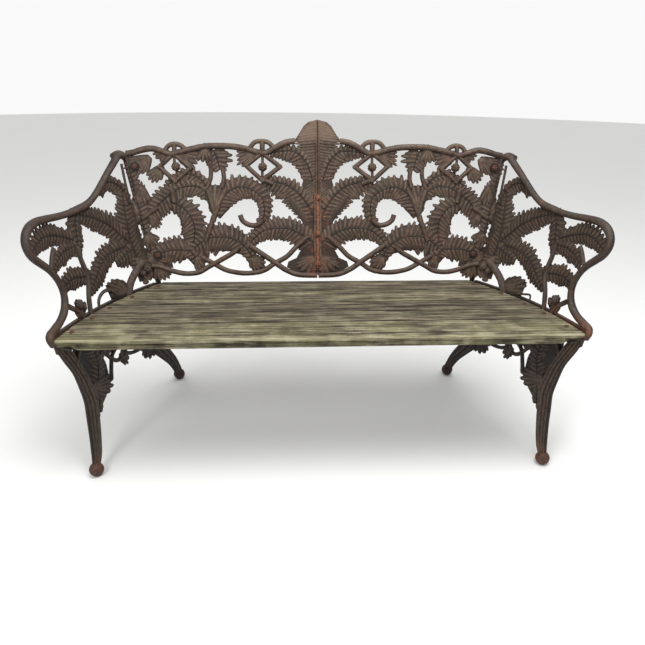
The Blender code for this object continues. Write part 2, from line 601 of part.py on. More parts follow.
def end_frame(scratch, cutters, parts):
    """The right-hand end: legs, arm, fern side and seat ledge, one casting."""
    for i, (midrib, left, right) in enumerate(END_FRONDS):
        depths = staggered(-PLATE, FROND_TOP, END_FROND_STAGGER, i)
        plate(frond_outline(midrib, left, right), *depths, on_end, scratch)
    for i, (route, radius) in enumerate(END_STEMS):
        depth = -0.03 + END_STEM_STAGGER * i
        bar(straight(route, radius), STEM_FLATNESS, depth, on_end, scratch, sides=0)
    for i, outline in enumerate(END_LEAVES):
        plate(outline, *staggered(-0.02 - PLATE, 0.33, END_LEAF_STAGGER, i), on_end, scratch)
    for spot in END_BERRIES:
        berry(*spot, on_end, scratch)
    bar(ARM, 1.0, ARM_DEPTH, on_end, scratch)
    bar(FRONT_LEG, LEG_FLATNESS, 0, on_end, scratch, sides=2)
    bar(REAR_LEG, LEG_FLATNESS, 0, on_end, scratch, sides=2)
    strip(*SIDE_BAND, on_end, scratch)
    ledge_top = (SLAT_BOTTOM - GAP) / SEAT_TOP * END_SEAT_LEVEL
    ledge_low = (SLAT_BOTTOM - GAP - LEDGE) / SEAT_TOP * END_SEAT_LEVEL
    reach = LEDGE_REACH / DEPTH_UNIT
    strip((LEDGE_SPAN[0], ledge_low, -0.2), (LEDGE_SPAN[1], ledge_top, reach), on_end, scratch)
    post = [(mix(PATTERN_FOOT_EDGE, PATTERN_KNOT[0], up / PATTERN_KNOT[1]) - POST_SETBACK, up, POST_RADIUS)
            for up in POST_LEVELS]
    bar(post, 1.0, POST_DEPTH, on_back, scratch)
    bar(KNOT_LINK, 1.0, KNOT_LINK_DEPTH, on_end, scratch)
    for across, up in BACK_LUGS:
        front = -PLATE - GAP / DEPTH_UNIT
        place = back_place(across, up, (front + LUG_BACK) / 2)
        cylinder(LUG_RADIUS * DEPTH_UNIT, (front - LUG_BACK) * DEPTH_UNIT, place, scratch)
        cylinder(BACK_BOLT + HOLE_CLEAR, HOLE_LENGTH, back_place(across, up, 0), cutters)
        link = [(across + further, up, radius) for further, radius in LUG_LINK]
        bar(link, 0.6, LUG_LINK_DEPTH, on_back, scratch)
    for place in (FRONT_FOOT, REAR_FOOT):
        ball_foot(place, scratch)
    for x, y in seat_bolt_places():
        cylinder(SEAT_BOLT + HOLE_CLEAR, HOLE_LENGTH, Matrix.Translation((x, y, SLAT_BOTTOM)), cutters)
    return fused("end_frame_right", scratch, cutters, parts, solver="MANIFOLD")


def slat_edges():
    """(front y, rear y) of each slat, the rear slat first."""
    rear = SEAT_REAR_Y
    for width in SLAT_WIDTHS:
        yield rear - width, rear
        rear -= width + SLAT_GAP


def end_x(y):
    """Where a slat's end stops at y, clear of the end casting."""
    stations = [on_end_at(END_UNITS * i / 20, SEAT_TOP, END_CLEAR) for i in range(-2, 22)]
    return along([(-p.y, p.x) for p in stations], -y)


def seat_bolt_places():
    for front, rear in slat_edges():
        y = max((front + rear) / 2, SEAT_FRONT_Y + FRONT_BOLT_LIMIT)
        yield end_x(y) - SEAT_BOLT_SETBACK, y


def slat(name, front, rear, hole_x, hole_y, scratch, cutters, parts):
    """A board with a skewed end, eased edges, two bolt holes and a blind screw hole underneath."""
    points = [(end_x(y), y) for y in (rear, (front + rear) / 2, front)]
    outline = points + [(-x, y) for x, y in reversed(points)]
    curve = bpy.data.curves.new(name, "CURVE")
    curve.dimensions = "2D"
    curve.fill_mode = "BOTH"
    curve.extrude = SLAT_THICKNESS / 2 - SLAT_EDGE
    curve.offset = -SLAT_EDGE
    curve.bevel_depth = SLAT_EDGE
    curve.bevel_resolution = 1
    spline = curve.splines.new("POLY")
    spline.points.add(len(outline) - 1)
    for point, (x, y) in zip(spline.points, outline):
        point.co = (x, y, 0, 1)
    spline.use_cyclic_u = True
    board = mesh_of_curve(new_object(name, curve, scratch), scratch)
    board.data.transform(Matrix.Translation((0, 0, SEAT_TOP - SLAT_THICKNESS / 2)))
    for side in (1, -1):
        place = Matrix.Translation((side * hole_x, hole_y, SEAT_TOP))
        cylinder(SEAT_BOLT + HOLE_CLEAR, HOLE_LENGTH, place, cutters)
    place = Matrix.Translation((0, (front + rear) / 2, SLAT_BOTTOM))
    cylinder(SCREW + HOLE_CLEAR, 2 * (SCREW_BITE + GAP), place, cutters)
    return fused(name, scratch, cutters, parts)


def turned(name, profile, place, parts, steps=8):
    """A turned piece from (radius, height) points running down its outer side, about the axis of place."""
    mesh = bpy.data.meshes.new(name)
    bm = bmesh.new()
    points = [bm.verts.new((radius, 0, height)) for radius, height in profile]
    for a, b in zip(points, points[1:]):
        bm.edges.new((a, b))
    bm.to_mesh(mesh)
    bm.free()
    obj = new_object(name, mesh, parts)
    screw = obj.modifiers.new("turn", "SCREW")
    screw.steps = screw.render_steps = steps
    screw.use_merge_vertices = True
    screw.merge_threshold = 1e-5
    obj.matrix_world = place
    return obj


def bolt(name, radius, reach, place, material, parts):
    """A round-headed bolt. Place is where the underside of its head sits, with Z out of the head."""
    head = radius * HEAD_SHARE
    profile = (
        (0, HEAD_HEIGHT), (head * 0.7, HEAD_HEIGHT * 0.8), (head, 0),
        (radius, 0), (radius, -reach), (0, -reach),
    )
    return finish(turned(name, profile, place, parts), material)


def nut(name, radius, place, material, scratch, cutters, parts):
    """A hexagon nut whose middle is at place."""
    cylinder(radius * NUT_SHARE, NUT_HEIGHT, place, scratch, sides=6)
    cylinder(radius + HOLE_CLEAR * 0.75, NUT_HEIGHT * 3, place, cutters)
    return finish(fused(name, scratch, cutters, parts), material)


def joint_holes(cutters):
    for up in JOINT_BOLTS:
        cylinder(JOINT_BOLT + HOLE_CLEAR, HOLE_LENGTH, back_place(0, up, 0), cutters)


def joint_strips(materials, scratch, cutters, parts):
    """The strip in front of the joint of the two halves and the flat plate behind it."""
    face = LAND + GAP / DEPTH_UNIT
    low, high = STRIP_SPAN
    outline = ((-STRIP_HALF, low), (STRIP_HALF, low), (STRIP_HALF, high), (-STRIP_HALF, high))
    plate(outline, face, face + STRIP_DEPTH, on_back, scratch)
    joint_holes(cutters)
    for up in JOINT_BOLTS:
        height = STRIP_DEPTH * DEPTH_UNIT - 0.0002
        cylinder(STRIP_LUMP, height, back_place(0, up, face + STRIP_DEPTH / 2), scratch)
    finish(fused("joint_strip", scratch, cutters, parts), materials["rust"])
    low, high = BACK_PLATE_SPAN
    half = BACK_PLATE_HALF
    outline = ((-half, low), (half, low), (half, high), (-half, high))
    plate(outline, -face - BACK_PLATE_DEPTH, -face, on_back, scratch)
    joint_holes(cutters)
    finish(fused("joint_back_plate", scratch, cutters, parts), materials["steel"])


def fasteners(materials, scratch, cutters, parts):
    """Every bolt and nut of the bench."""
    steel = materials["steel"]
    gap = GAP / DEPTH_UNIT
    half_nut = NUT_HEIGHT / 2 / DEPTH_UNIT
    front = LAND + gap + STRIP_DEPTH + gap
    back = LAND + gap + BACK_PLATE_DEPTH + gap
    reach = (front + back) * DEPTH_UNIT + NUT_HEIGHT + THREAD_SPARE
    for i, up in enumerate(JOINT_BOLTS, 1):
        bolt(f"joint_bolt_{i}", JOINT_BOLT, reach, back_place(0, up, front), materials["rust"], parts)
        place = back_place(0, up, -back - half_nut)
        nut(f"joint_nut_{i}", JOINT_BOLT, place, steel, scratch, cutters, parts)
    front, back = LUG_FRONT + gap, gap - LUG_BACK
    reach = (front + back) * DEPTH_UNIT + NUT_HEIGHT + THREAD_SPARE
    for side, sign in (("right", 1), ("left", -1)):
        for level, (across, up) in zip(("upper", "lower"), BACK_LUGS):
            place = back_place(sign * across, up, front)
            bolt(f"back_bolt_{side}_{level}", BACK_BOLT, reach, place, steel, parts)
            place = back_place(sign * across, up, -back - half_nut)
            nut(f"back_nut_{side}_{level}", BACK_BOLT, place, steel, scratch, cutters, parts)
    reach = SLAT_THICKNESS + LEDGE + NUT_HEIGHT + 4 * GAP + THREAD_SPARE
    level = SLAT_BOTTOM - LEDGE - 2 * GAP - NUT_HEIGHT / 2
    for side, sign in (("right", 1), ("left", -1)):
        for i, (x, y) in enumerate(seat_bolt_places()):
            number = len(SLAT_WIDTHS) - i
            place = Matrix.Translation((sign * x, y, SEAT_TOP + GAP))
            bolt(f"seat_bolt_{side}_{number}", SEAT_BOLT, reach, place, steel, parts)
            place = Matrix.Translation((sign * x, y, level))
            nut(f"seat_nut_{side}_{number}", SEAT_BOLT, place, steel, scratch, cutters, parts)


def seat(materials, scratch, cutters, parts):
    """The five slats, the strap under their middle and its screws."""
    edges = list(slat_edges())
    for i, ((front, rear), (x, y)) in enumerate(zip(edges, seat_bolt_places())):
        number = len(edges) - i
        name = {1: "seat_slat_1_front", 5: "seat_slat_5_rear"}.get(number, f"seat_slat_{number}")
        finish(slat(name, front, rear, x, y, scratch, cutters, parts), materials["wood"], smooth=False)
    top = SLAT_BOTTOM - GAP
    low = (-STRAP_WIDTH / 2, edges[-1][0] + 0.02, top - STRAP)
    box(low, (STRAP_WIDTH / 2, edges[0][1] - 0.01, top), scratch)
    flip = Matrix.Rotation(math.pi, 4, "X")
    for i, (front, rear) in enumerate(edges):
        y = (front + rear) / 2
        cylinder(SCREW + HOLE_CLEAR, 0.05, Matrix.Translation((0, y, top)), cutters)
        under = Matrix.Translation((0, y, top - STRAP - GAP)) @ flip
        reach = STRAP + 2 * GAP + SCREW_BITE - GAP
        bolt(f"strap_screw_{len(edges) - i}", SCREW, reach, under, materials["steel"], parts)
    finish(fused("seat_strap", scratch, cutters, parts), materials["steel"], smooth=False)


def helper_collection(name):
    collection = bpy.data.collections.new(name)
    collection.hide_render = True
    bpy.context.scene.collection.children.link(collection)
    return collection


def main():
    for obj in list(bpy.data.objects):
        bpy.data.objects.remove(obj)
    parts = bpy.data.collections.new("garden_bench")
    bpy.context.scene.collection.children.link(parts)
    scratch, cutters = helper_collection("pieces_to_join"), helper_collection("cutters")
    materials = {
        "iron": plain_material("cast iron", (0.075, 0.058, 0.047), 0.62, 0.55),
        "rust": plain_material("rusted iron", (0.28, 0.12, 0.055), 0.8, 0.2),
        "steel": plain_material("steel fastener", (0.12, 0.09, 0.07), 0.6, 0.7),
        "wood": plain_material("weathered wood", (0.24, 0.21, 0.15), 0.85, 0.0),
    }
    for build, left_name in ((back_panel, "back_panel_left"), (end_frame, "end_frame_left")):
        casting = finish(build(scratch, cutters, parts), materials["iron"])
        finish(mirrored(casting, left_name, parts), materials["iron"])
    joint_strips(materials, scratch, cutters, parts)
    fasteners(materials, scratch, cutters, parts)
    seat(materials, scratch, cutters, parts)


main()
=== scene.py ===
"""Garden bench: the looks of its fern castings, weathered slats and rusted fixings, around the CAD frame."""

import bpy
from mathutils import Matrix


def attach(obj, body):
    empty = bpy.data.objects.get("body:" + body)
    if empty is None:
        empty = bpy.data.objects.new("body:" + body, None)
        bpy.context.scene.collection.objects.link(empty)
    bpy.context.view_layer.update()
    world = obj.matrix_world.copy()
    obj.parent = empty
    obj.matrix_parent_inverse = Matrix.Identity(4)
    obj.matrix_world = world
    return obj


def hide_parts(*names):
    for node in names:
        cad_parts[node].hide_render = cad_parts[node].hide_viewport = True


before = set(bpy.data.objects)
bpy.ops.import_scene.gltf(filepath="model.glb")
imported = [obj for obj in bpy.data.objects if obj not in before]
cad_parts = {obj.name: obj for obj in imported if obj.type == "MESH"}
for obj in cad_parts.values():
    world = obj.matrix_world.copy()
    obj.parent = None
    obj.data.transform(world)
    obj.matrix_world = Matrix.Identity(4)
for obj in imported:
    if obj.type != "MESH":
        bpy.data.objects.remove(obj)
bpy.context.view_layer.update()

import math

import bmesh
import bpy
from mathutils import Matrix, Vector, noise

bl_info = {
    "name": "Fern garden bench",
    "version": (1, 0, 0),
    "blender": (4, 5, 0),
    "location": "View3D > Sidebar > Bench",
    "description": "Builds the fern castings, the slatted seat and the fixings of a cast-iron garden bench",
    "category": "Object",
}

# The frame's own dimensions, in metres
SEAT_TOP = 0.420
SEAT_REAR_HALF = 0.530
SEAT_FRONT_HALF = 0.715
FRONT_WAIST = (0.300, 0.690)
KNOT_HALF = 0.620
ARM_HALF = 0.770
FRONT_FOOT = (0.650, -0.284)
REAR_FOOT = (0.507, 0.285)
SEAT_FRONT_Y = -0.275
ARM_FRONT_Y = -0.210
ARM_TIP_RISE = 0.280
END_BOW = 0.030
BACK_Y = 0.160
BACK_BASE = 0.430
BACK_TILT = math.radians(14)
KNOT_RISE = 0.398
BACK_DROP = -0.017
PATTERN_KNOT = (60.5, 40.5)
PATTERN_FOOT_EDGE = 51.7
END_UNITS = 50.0
END_SEAT_LEVEL = 42.0
END_KNOT_LEVEL = 80.7
UNIT = 0.01  # metres of depth to one pattern unit
GAP = 0.0003
SIN, COS = math.sin(BACK_TILT), math.cos(BACK_TILT)
KNOT_Z = BACK_BASE + KNOT_RISE * COS

# Fronds of the back: the midrib, then the reach of the leaflets to the left and to the right of it
BACK_FRONDS = (
    (((1.6, 32.5), (2.2, 35), (4.2, 39.2), (8, 41.8), (14.5, 41.2)), (1.2, 1.8, 2.2, 1.4),
     (3.6, 4.4, 3.6, 1.4)),
    (((1, 21), (3, 25), (6, 28.8), (10, 31.5), (16.5, 32.9)), (2.6, 3, 2.8, 1.8), (5.2, 6.4, 5.2, 2.8)),
    (((1.2, 13.4), (5, 16), (9, 17.8), (13, 18), (17, 17.3), (20, 15), (22, 12.8)), (3.2, 4.2, 3.8, 1.6),
     (4.8, 4.8, 3.4, 1.8)),
    (((32, 22), (31, 25), (29, 28.5), (26, 30.5), (23, 30.8), (20, 29.6), (17.6, 27.5), (16.9, 25),
      (17, 22), (18.3, 19.8)), (2, 4.6, 4.9, 4.2, 3.1, 2.4, 2, 1.6),
     (3.6, 3.6, 4.2, 4.0, 3.0, 1.6)),
    (((32.3, 42), (31, 38.8), (30.5, 36)), (4.6, 3.8, 2.0), (4.6, 4.2, 2.0)),
    (((33.5, 28), (37, 30.6), (41, 31), (45, 29.3), (49, 26), (52, 22.5), (53, 20)), (1.8, 3.4, 4.2, 2),
     (2.8, 4.4, 4.9, 2.6)),
    (((34, 30), (37, 33.5), (40.5, 34.7), (43, 34), (46.5, 31.4)), (1.9, 2.2, 1.6), (2.8, 3.4, 1.8)),
    (((45.5, 26), (42, 24.3), (40.3, 22.3), (39.2, 20), (38.8, 17), (39.3, 13.8)), (3.2, 4.6, 5.2, 2.8),
     (3, 4.4, 4.6, 2.2)),
    (((20.5, 7.6), (22.5, 11.5), (25.5, 14), (29, 15.3), (34, 15.1), (37, 13.5), (40, 11)),
     (1.6, 4.0, 5.0, 4.8, 2.6), (1.6, 4.8, 6.2, 5.6, 2.6)),
    (((38, 7.5), (40.5, 10.8), (43.5, 11.3), (47, 11.1), (50.5, 9.8), (52.8, 7.6)), (2.8, 4.8, 4.9, 3.8, 2.2),
     (1.4, 4.2, 5.0, 4.2, 2)),
    (((52.6, 11), (53.8, 15), (55, 19.6), (55.8, 24), (56.8, 29), (57.8, 34), (58.4, 37.4)),
     (1.6, 2.2, 2.6, 2.8, 2.4, 1.6), (0.8, 0.9, 0.9, 0.8)),
)
# Stems and rails of the back: the route, its radius, and how far it stands out
BACK_STEMS = (
    (((0.2, 3.0), (6, 3.2), (10, 4.6), (14, 7.3), (18, 10), (21.5, 12.4)), 0.85, 0.35),
    (((3, 15.5), (7, 12), (10, 9), (14, 6.8), (17, 4.8), (20, 4), (24, 3.8), (29, 4.7), (33, 6.8), (37, 9)),
     0.8, 0.2),
    (((25, 12), (27, 10.3), (31, 8), (35, 5.8), (38, 4.2), (42, 3.8), (46, 4.6), (50, 6), (52.5, 6.3)),
     0.8, 0.4),
    (((7, 44.8), (10, 44.3), (14, 42.3), (16, 41.2), (18.5, 41.3), (22, 42.3), (26, 43), (31, 43.2),
      (35, 43), (39, 42.2), (43, 41.2), (45.5, 40.7), (48, 41.5), (51, 42.3), (54, 41.9), (57, 41),
      (58.9, 40.7)), 0.95, 0.3),
    (((13.7, 42.8), (15.3, 44.3), (17.5, 44.7), (19.6, 44.3), (21.3, 42.3)), 0.72, 0.3),
    (((17.2, 44.8), (17.2, 41)), 0.8, 0.4),
    (((40.5, 41.8), (42.3, 43.3), (44.3, 43.7), (46, 43.1), (47.2, 41.5)), 0.72, 0.3),
    (((44.2, 43.8), (44.2, 41)), 0.7, 0.4),
    (((33, 20), (32.4, 22), (31, 25)), 0.8, 0.2),
    (((17.4, 20.6), (18.4, 19.6), (20, 18.9), (22, 19.2), (23.8, 20.4), (24.5, 22.2)), 0.8, 0.2),
    (((32.7, 22), (34.2, 17.5), (35.5, 14)), 0.8, 0.2),
    (((32.5, 22.5), (33.3, 26), (34.5, 30)), 0.9, 0.3),
    (((29.6, 36.5), (29.3, 33.5), (30, 30.5)), 0.7, 0.1),
    (((33.2, 36.5), (33.4, 33.6), (34.6, 30.4)), 0.7, 0.1),
    (((17.2, 41.4), (17.2, 38.2)), 0.45, 0.2),
    (((17.3, 35.6), (17.4, 33)), 0.45, 0.2),
    (((44.4, 40.4), (44.3, 37.8)), 0.45, 0.2),
    (((44.8, 26), (45.5, 29.5)), 0.9, 0.2),
    (((14, 31.8), (17.5, 33.2)), 0.8, 0.2),
    (((50.6, 5), (52.2, 9.6), (53.6, 14), (54.6, 18), (55.4, 21.6), (55.8, 25), (57.2, 31), (58.2, 35.6),
      (58.9, 40.3)), 0.6, -0.05),
    (((50, 24.5), (55, 21)), 0.9, 0.1),
)
# The bars on the centre line: the rib of the hood, and the land under the cover strip
RIB = ((0.36, 28.6), (0.36, 36), (0.36, 44), (0.36, 50.8))
CENTRE_LAND = ((0.75, 4.6), (0.75, 12), (0.75, 20), (0.75, 29))
# Square trellis loops of the back, each with a berry hung inside
DIAMONDS = (
    ((11.8, 37), (17.4, 32.8), (22.3, 37.3), (17.3, 41.2)),
    ((39.5, 36.5), (44.3, 32.5), (49, 36.8), (44.5, 40.8)),
)
DIAMOND_BAR = 0.74
BACK_BERRIES = ((17.2, 36.9, 1.6), (43.9, 36.9, 1.6), (34.9, 43.2, 1.0))
# Leaves that spread from one point: the root, then where the leaflets end
BACK_FANS = (
    ((19.2, 41.4), ((25.3, 41.6), (25.5, 40.2), (25.2, 38.8), (25.3, 37.4), (23.8, 36.9), (22.3, 37.1))),
    ((43.4, 41.2), ((36, 42), (35.6, 40.8), (36.4, 39.4), (37.2, 37.8), (38, 36.2), (39.6, 35.8),
                    (41, 37.4))),
    ((51.6, 39.9), ((59.4, 39), (60, 37.6), (60, 36.2), (59.4, 34.9), (57.9, 34), (56.2, 34.1),
                    (54.5, 34.6), (53, 35))),
    ((48.6, 37), ((47.8, 34.4), (48.8, 32.7), (50.2, 31.9), (51.6, 31.9), (52.6, 32.8), (53.2, 34.2))),
    ((45.6, 41.3), ((50.6, 41.9), (51, 40.6), (50.2, 39.4), (48.8, 38.4))),
    ((55.7, 25.2), ((53.8, 31.6), (54.6, 32.6), (55.8, 33.2), (56.9, 33), (57.4, 31.2))),
    ((52.6, 22.6), ((48.9, 19), (49.6, 18), (50.6, 17.6), (51.7, 18), (52.7, 19.2))),
    ((21.2, 8.6), ((16.8, 8.4), (16.6, 7), (17.2, 5.4), (18.6, 4.6), (20, 4.6), (21.4, 5.2))),
    ((38.5, 9), ((35.6, 7.2), (36, 5.4), (37.4, 4.4), (38.8, 4.8))),
    ((54.5, 9), ((48, 8.6), (47.4, 7.4), (48.6, 6.4), (50.4, 5.8), (52.4, 5.2), (54.6, 5))),
    ((1, 9), ((6.2, 8.2), (6.8, 6.8), (7.2, 5.4), (5.6, 4.4), (3.4, 3.6), (1.4, 3.4))),
    ((56, 22), ((57.4, 26.6), (58, 24.4), (57.6, 21.6), (57, 19.6))),
    ((34.9, 43), ((32.6, 38.6), (34.2, 38), (35.8, 38.2), (37.4, 38.6))),
    ((32.6, 23.6), ((28.6, 30.6), (30.2, 31.6), (32, 31.8), (33.8, 31.2), (35, 29.8))),
    ((51, 6.4), ((46.6, 3.4), (47.2, 2.2), (48.6, 1.6), (50.2, 1.4), (51.8, 1.8))),
    ((54.8, 31), ((52.4, 26.4), (53.6, 25), (55.2, 24.6), (56.8, 25.6))),
    ((53.6, 16), ((49.8, 14.6), (50.4, 12.8), (52, 11.6), (53.6, 11.4), (55, 12.6))),
)
# Plain webs of metal behind the leaves of the back
BACK_WEBS = (
    ((0.016, 3), (6, 3.4), (10, 5.6), (9.5, 7.4), (6.8, 8.6), (5, 12), (5.6, 16.5), (4.6, 21), (4.6, 27),
     (5, 31.5), (4.2, 34), (4.6, 38), (5, 41.5), (5.2, 43), (3.4, 43.6), (4.2, 44.7), (7.1, 45.3),
     (6.2, 46.4), (5.2, 48), (4.3, 49.4), (2.9, 50.6), (0.016, 51.3)),
    ((28.6, 31.4), (34.4, 31.4), (34.4, 25), (32.4, 22), (30.6, 25)),
    ((32.6, 39.4), (37.4, 39.4), (38, 42.4), (32.4, 43)),
    ((47, 3.2), (52.6, 2.2), (53, 7), (48, 6.4)),
    ((16.2, 4.8), (21, 4.6), (24, 10.6), (19, 9.6)),
    ((35, 8), (38, 4.6), (42, 9.2), (37, 13)),
    ((46, 5.6), (53, 6), (55, 12), (47, 10)),
    ((53, 27), (53.4, 20), (56.6, 19), (58, 27), (56.4, 31), (54.2, 31)),
)
# The hood over the middle: height on the centre line and reach of its leaflets
HOOD = ((28, 4.2), (31, 4.6), (34, 3.2), (38, 3.9), (41, 5.0), (43.4, 6.4), (45.4, 7.5), (46.4, 6.7),
        (47.6, 6.0), (49, 5.1), (50.2, 3.7), (51, 2.0))
HOOD_LEAFLETS = 27
HOOD_BULGE = ((43.5, 0.0), (45, 0.4))  # (height, how far the leaflets stand out)
HOOD_DROOP = ((28, 0.8), (33, 0.7), (36, 0.25), (44, 0.08), (47, 0.12), (51, 0.3))  # (height, fall per unit)

# How leafwork is cast: the crest value is 1 where a painted highlight makes the iron bright, and 0 where
# painted shade makes it dark
FROND_WEB = 0.74  # how far the metal reaches under a frond's leaflets
FROND_WEB_DEPTH = -0.15
WEB_TOP = -0.02
WEB_EDGE = 3  # a plain web's edges longer than this are divided
MIDRIB_RADIUS = 0.20
MIDRIB_DEPTH = 0.22
PLAIN_CREST = 0.56
BALL_CREST = 0.75
LEAFLET_SWELL = ((-1, 1.0), (-0.86, 1.6), (-0.5, 1.15), (0, 1.0), (0.5, 1.02), (0.86, 1.12), (1, 1))
LEAFLET_BREADTH = 0.60  # half-width of a leaflet in pitches, so that each one laps over the next
LEAFLET_LEAN = 0.42  # how far a leaflet leans towards its frond's tip
LEAFLET_START = 0.10  # where a leaflet starts, out from the midrib
LEAFLET_DEPTH = 0.18
BERRY_RINGS = ((0, 1), (38, 6), (76, 9), (114, 6))  # (degrees down from the top, drupelets)
DRUPELET = 0.36  # a drupelet's radius in berry radii
BERRY_DEPTH = 0.3
LAYER = 0.02  # how much further out each frond lies than the one before it
BAR_SIDES = 8

# The end, in units along it from the rear corner and units above the ground
END_SPREAD = 1.14  # the end's leaflets reach this much past their table
END_FRONDS = (
    (((2.2, 66.5), (3.2, 70.5), (5.5, 72.8), (9, 73.8), (12.8, 71.4)), (1.2, 2, 1.6, 0.9),
     (3.6, 3.2, 2.4, 1.2)),
    (((4.2, 47.5), (5.2, 52), (5.6, 57), (5.2, 62), (4.4, 66), (3.8, 70)), (3.4, 5, 5, 4, 2.4),
     (3, 4.5, 4.2, 3.4, 2)),
    (((6.5, 56.2), (10, 59.5), (12.5, 62), (16, 64.2), (20, 66), (24.6, 67.4)), (4.2, 3.9, 2.9, 1.8),
     (4, 3.8, 3.4, 1.8)),
    (((8, 55.2), (13, 55), (17, 54.2), (20, 52.8), (23, 50.5), (26, 48.3), (28, 47.2)), (2.6, 3, 3.2, 1.2),
     (1.8, 3, 3.6, 1.4)),
    (((5.5, 54), (10, 52.8), (13.7, 51.6)), (2.5, 2, 1), (4.4, 3.4, 1.2)),
    (((24.5, 68.5), (26.5, 64.5), (27.3, 61), (28.3, 57.2)), (2.4, 4, 4.2, 1.4), (2, 3, 2.6, 1.2)),
    (((29, 61.5), (32, 62.8), (35, 63.9), (39, 64.9), (43, 64.7), (47.4, 63)), (2, 2.5, 3.2, 2.8, 2),
     (2.5, 2.6, 2.8, 1.8)),
    (((28, 60), (31, 60), (34, 59.8), (37, 58.9), (40.4, 57)), (1.8, 2, 1.2), (2.2, 3.2, 1.4)),
    (((26, 51.2), (29, 51.7), (32, 52.3), (35, 52.3), (38.5, 51.5)), (2.2, 3, 2.2), (2, 3, 1.8)),
    (((40.5, 14), (38.5, 19), (36, 24), (34.5, 28), (35, 33.5), (37, 40)), (2.5, 4.5, 4, 3),
     (1.5, 3.5, 3, 2)),
    (((5.5, 19), (9, 24), (12, 29), (12, 35), (11, 40.5)), (1.5, 2, 2.5, 3), (3, 3.5, 3, 3)),
    (((16, 40.5), (18.5, 35.5), (21.5, 31.5), (26, 29.5), (32, 30)), (2, 3, 3, 2), (2, 2.6, 2.6, 1.5)),
)
END_STEMS = (
    (((28.5, 60), (28.2, 56), (27.4, 52), (28, 49), (29.5, 45.5), (30.5, 41)), 0.8, 0.3),
    (((3.5, 49.5), (8, 46.8), (11, 44.3), (13, 41)), 1.1, 0.3),
    (((38, 61.5), (39.8, 59.6), (41.3, 57.4)), 0.7, 0.1),
    (((11.5, 22.3), (15, 22.3), (18, 22.8), (21, 24), (25, 23.6), (28, 26), (30.5, 30)), 0.7, 0.1),
    (((30.5, 19.5), (29, 23), (27, 26.5), (23.5, 28.5), (20.5, 31.5)), 0.7, 0.2),
    (((11, 26), (14.5, 27.2), (18.5, 27), (21.5, 24)), 0.65, 0.2),
    (((43.2, 28.5), (42.8, 32), (40.5, 34.5), (36.5, 34.8)), 0.7, 0.1),
    (((38.6, 46.5), (35, 43.8), (33.6, 41)), 0.75, 0.2),
    (((0.4, 78), (1, 70), (0.8, 62), (1.4, 54), (2, 48)), 0.4, -0.45),
)
# A curling tendril on the left end, and a square one on the right
TENDRILS = {
    "left": ((17.6, 43.4), (19.4, 45.2), (22, 45.7), (24.4, 45), (25.8, 43.6), (26.3, 41.4)),
    "right": ((18.2, 42.8), (20.8, 43.4), (23.4, 43.9), (23.9, 42.8), (24.2, 41.4)),
}
TENDRIL_RADIUS = {"left": 0.55, "right": 0.34}
END_FANS = (
    ((12.2, 43), ((14.2, 46.6), (16.2, 47.4), (18.2, 47.8), (20.2, 47.4), (21.2, 46), (20.2, 44),
                  (18, 42.6))),
    ((5.8, 50.4), ((1.2, 50.6), (0.2, 49.2), (0, 47.6), (1.2, 46), (3.2, 45.2), (5, 45.4))),
    ((3, 44), ((0.2, 45.8), (2, 46.2), (4.4, 45.4), (5.4, 43.6))),
    ((34.8, 42.6), ((31, 45.4), (32.6, 46.6), (34.8, 46.6), (36.4, 45.2))),
    ((41.5, 23), ((30, 21), (29.4, 19.2), (30, 17.2), (32.2, 16.4), (34.8, 16.2), (37.2, 15.4),
                  (39, 13.2), (41, 12.4))),
    ((23.4, 25.6), ((19.6, 23.4), (19.8, 21.4), (20.8, 19.9), (22.2, 20.2), (23.2, 21.6))),
    ((6, 24.6), ((6.6, 16.4), (8.8, 16.2), (11, 16.2), (12.8, 17.4), (13.8, 19.2), (13.8, 21.2), (13, 23.4))),
    ((11.2, 73.4), ((11.2, 71), (12.4, 69.8), (13.6, 70.6))),
)
END_BERRIES = ((34.4, 45.8, 1.5), (32.6, 44.4, 1.1), (2.6, 47.4, 1.5), (4.6, 46.4, 1.1))
END_WEBS = (
    ((0, 44), (6, 44), (6.6, 50), (8.6, 56), (7, 62), (6, 68), (1, 70), (0.8, 60), (0.6, 50)),
    ((10.8, 42), (19.4, 42), (20.4, 46.8), (15, 46.4)),
    ((40.5, 13.4), (42.6, 20), (41, 27), (43, 34), (41, 40), (33, 40), (31.6, 31), (30.4, 25), (31, 18)),
    ((4.5, 16), (12.6, 17.6), (12.6, 23), (14.6, 30), (15, 40), (4, 40), (4, 24)),
)
# Heavy members of the end: route and radius
ARM = (
    (1.3, 80.7, 1.0), (2.4, 80.2, 1.0), (5, 78.3, 0.95), (8, 76.2, 0.9), (11, 74, 0.9), (14, 71.9, 0.9),
    (17, 70.2, 0.9), (20, 69.2, 1.0), (24, 68.7, 1.0), (28, 68.4, 0.9), (33, 68.5, 0.9), (38, 68.9, 0.95),
    (43, 69.1, 1.05), (46.5, 68.4, 1.15), (48.9, 66.9, 1.2), (49.8, 64.8, 1.2), (48.7, 62.2, 1.15),
    (46, 59.9, 1.1), (43.1, 57.6, 1.05), (40.9, 55, 1.0), (39.6, 52, 1.0), (39.6, 49, 1.05),
    (41.2, 46.3, 1.1), (44.4, 44.5, 1.0), (48, 43.6, 1.05), (50.8, 42.8, 1.1), (50.6, 40.6, 0.9),
)
ARM_DEPTH = 0.3
KNOT_LINK = ((-3.0, 78.6, 1.1), (-1.8, 79.9, 1.2), (0, 80.7, 1.2), (2.6, 80.2, 1.1))
KNOT_LINK_DEPTH = -0.75
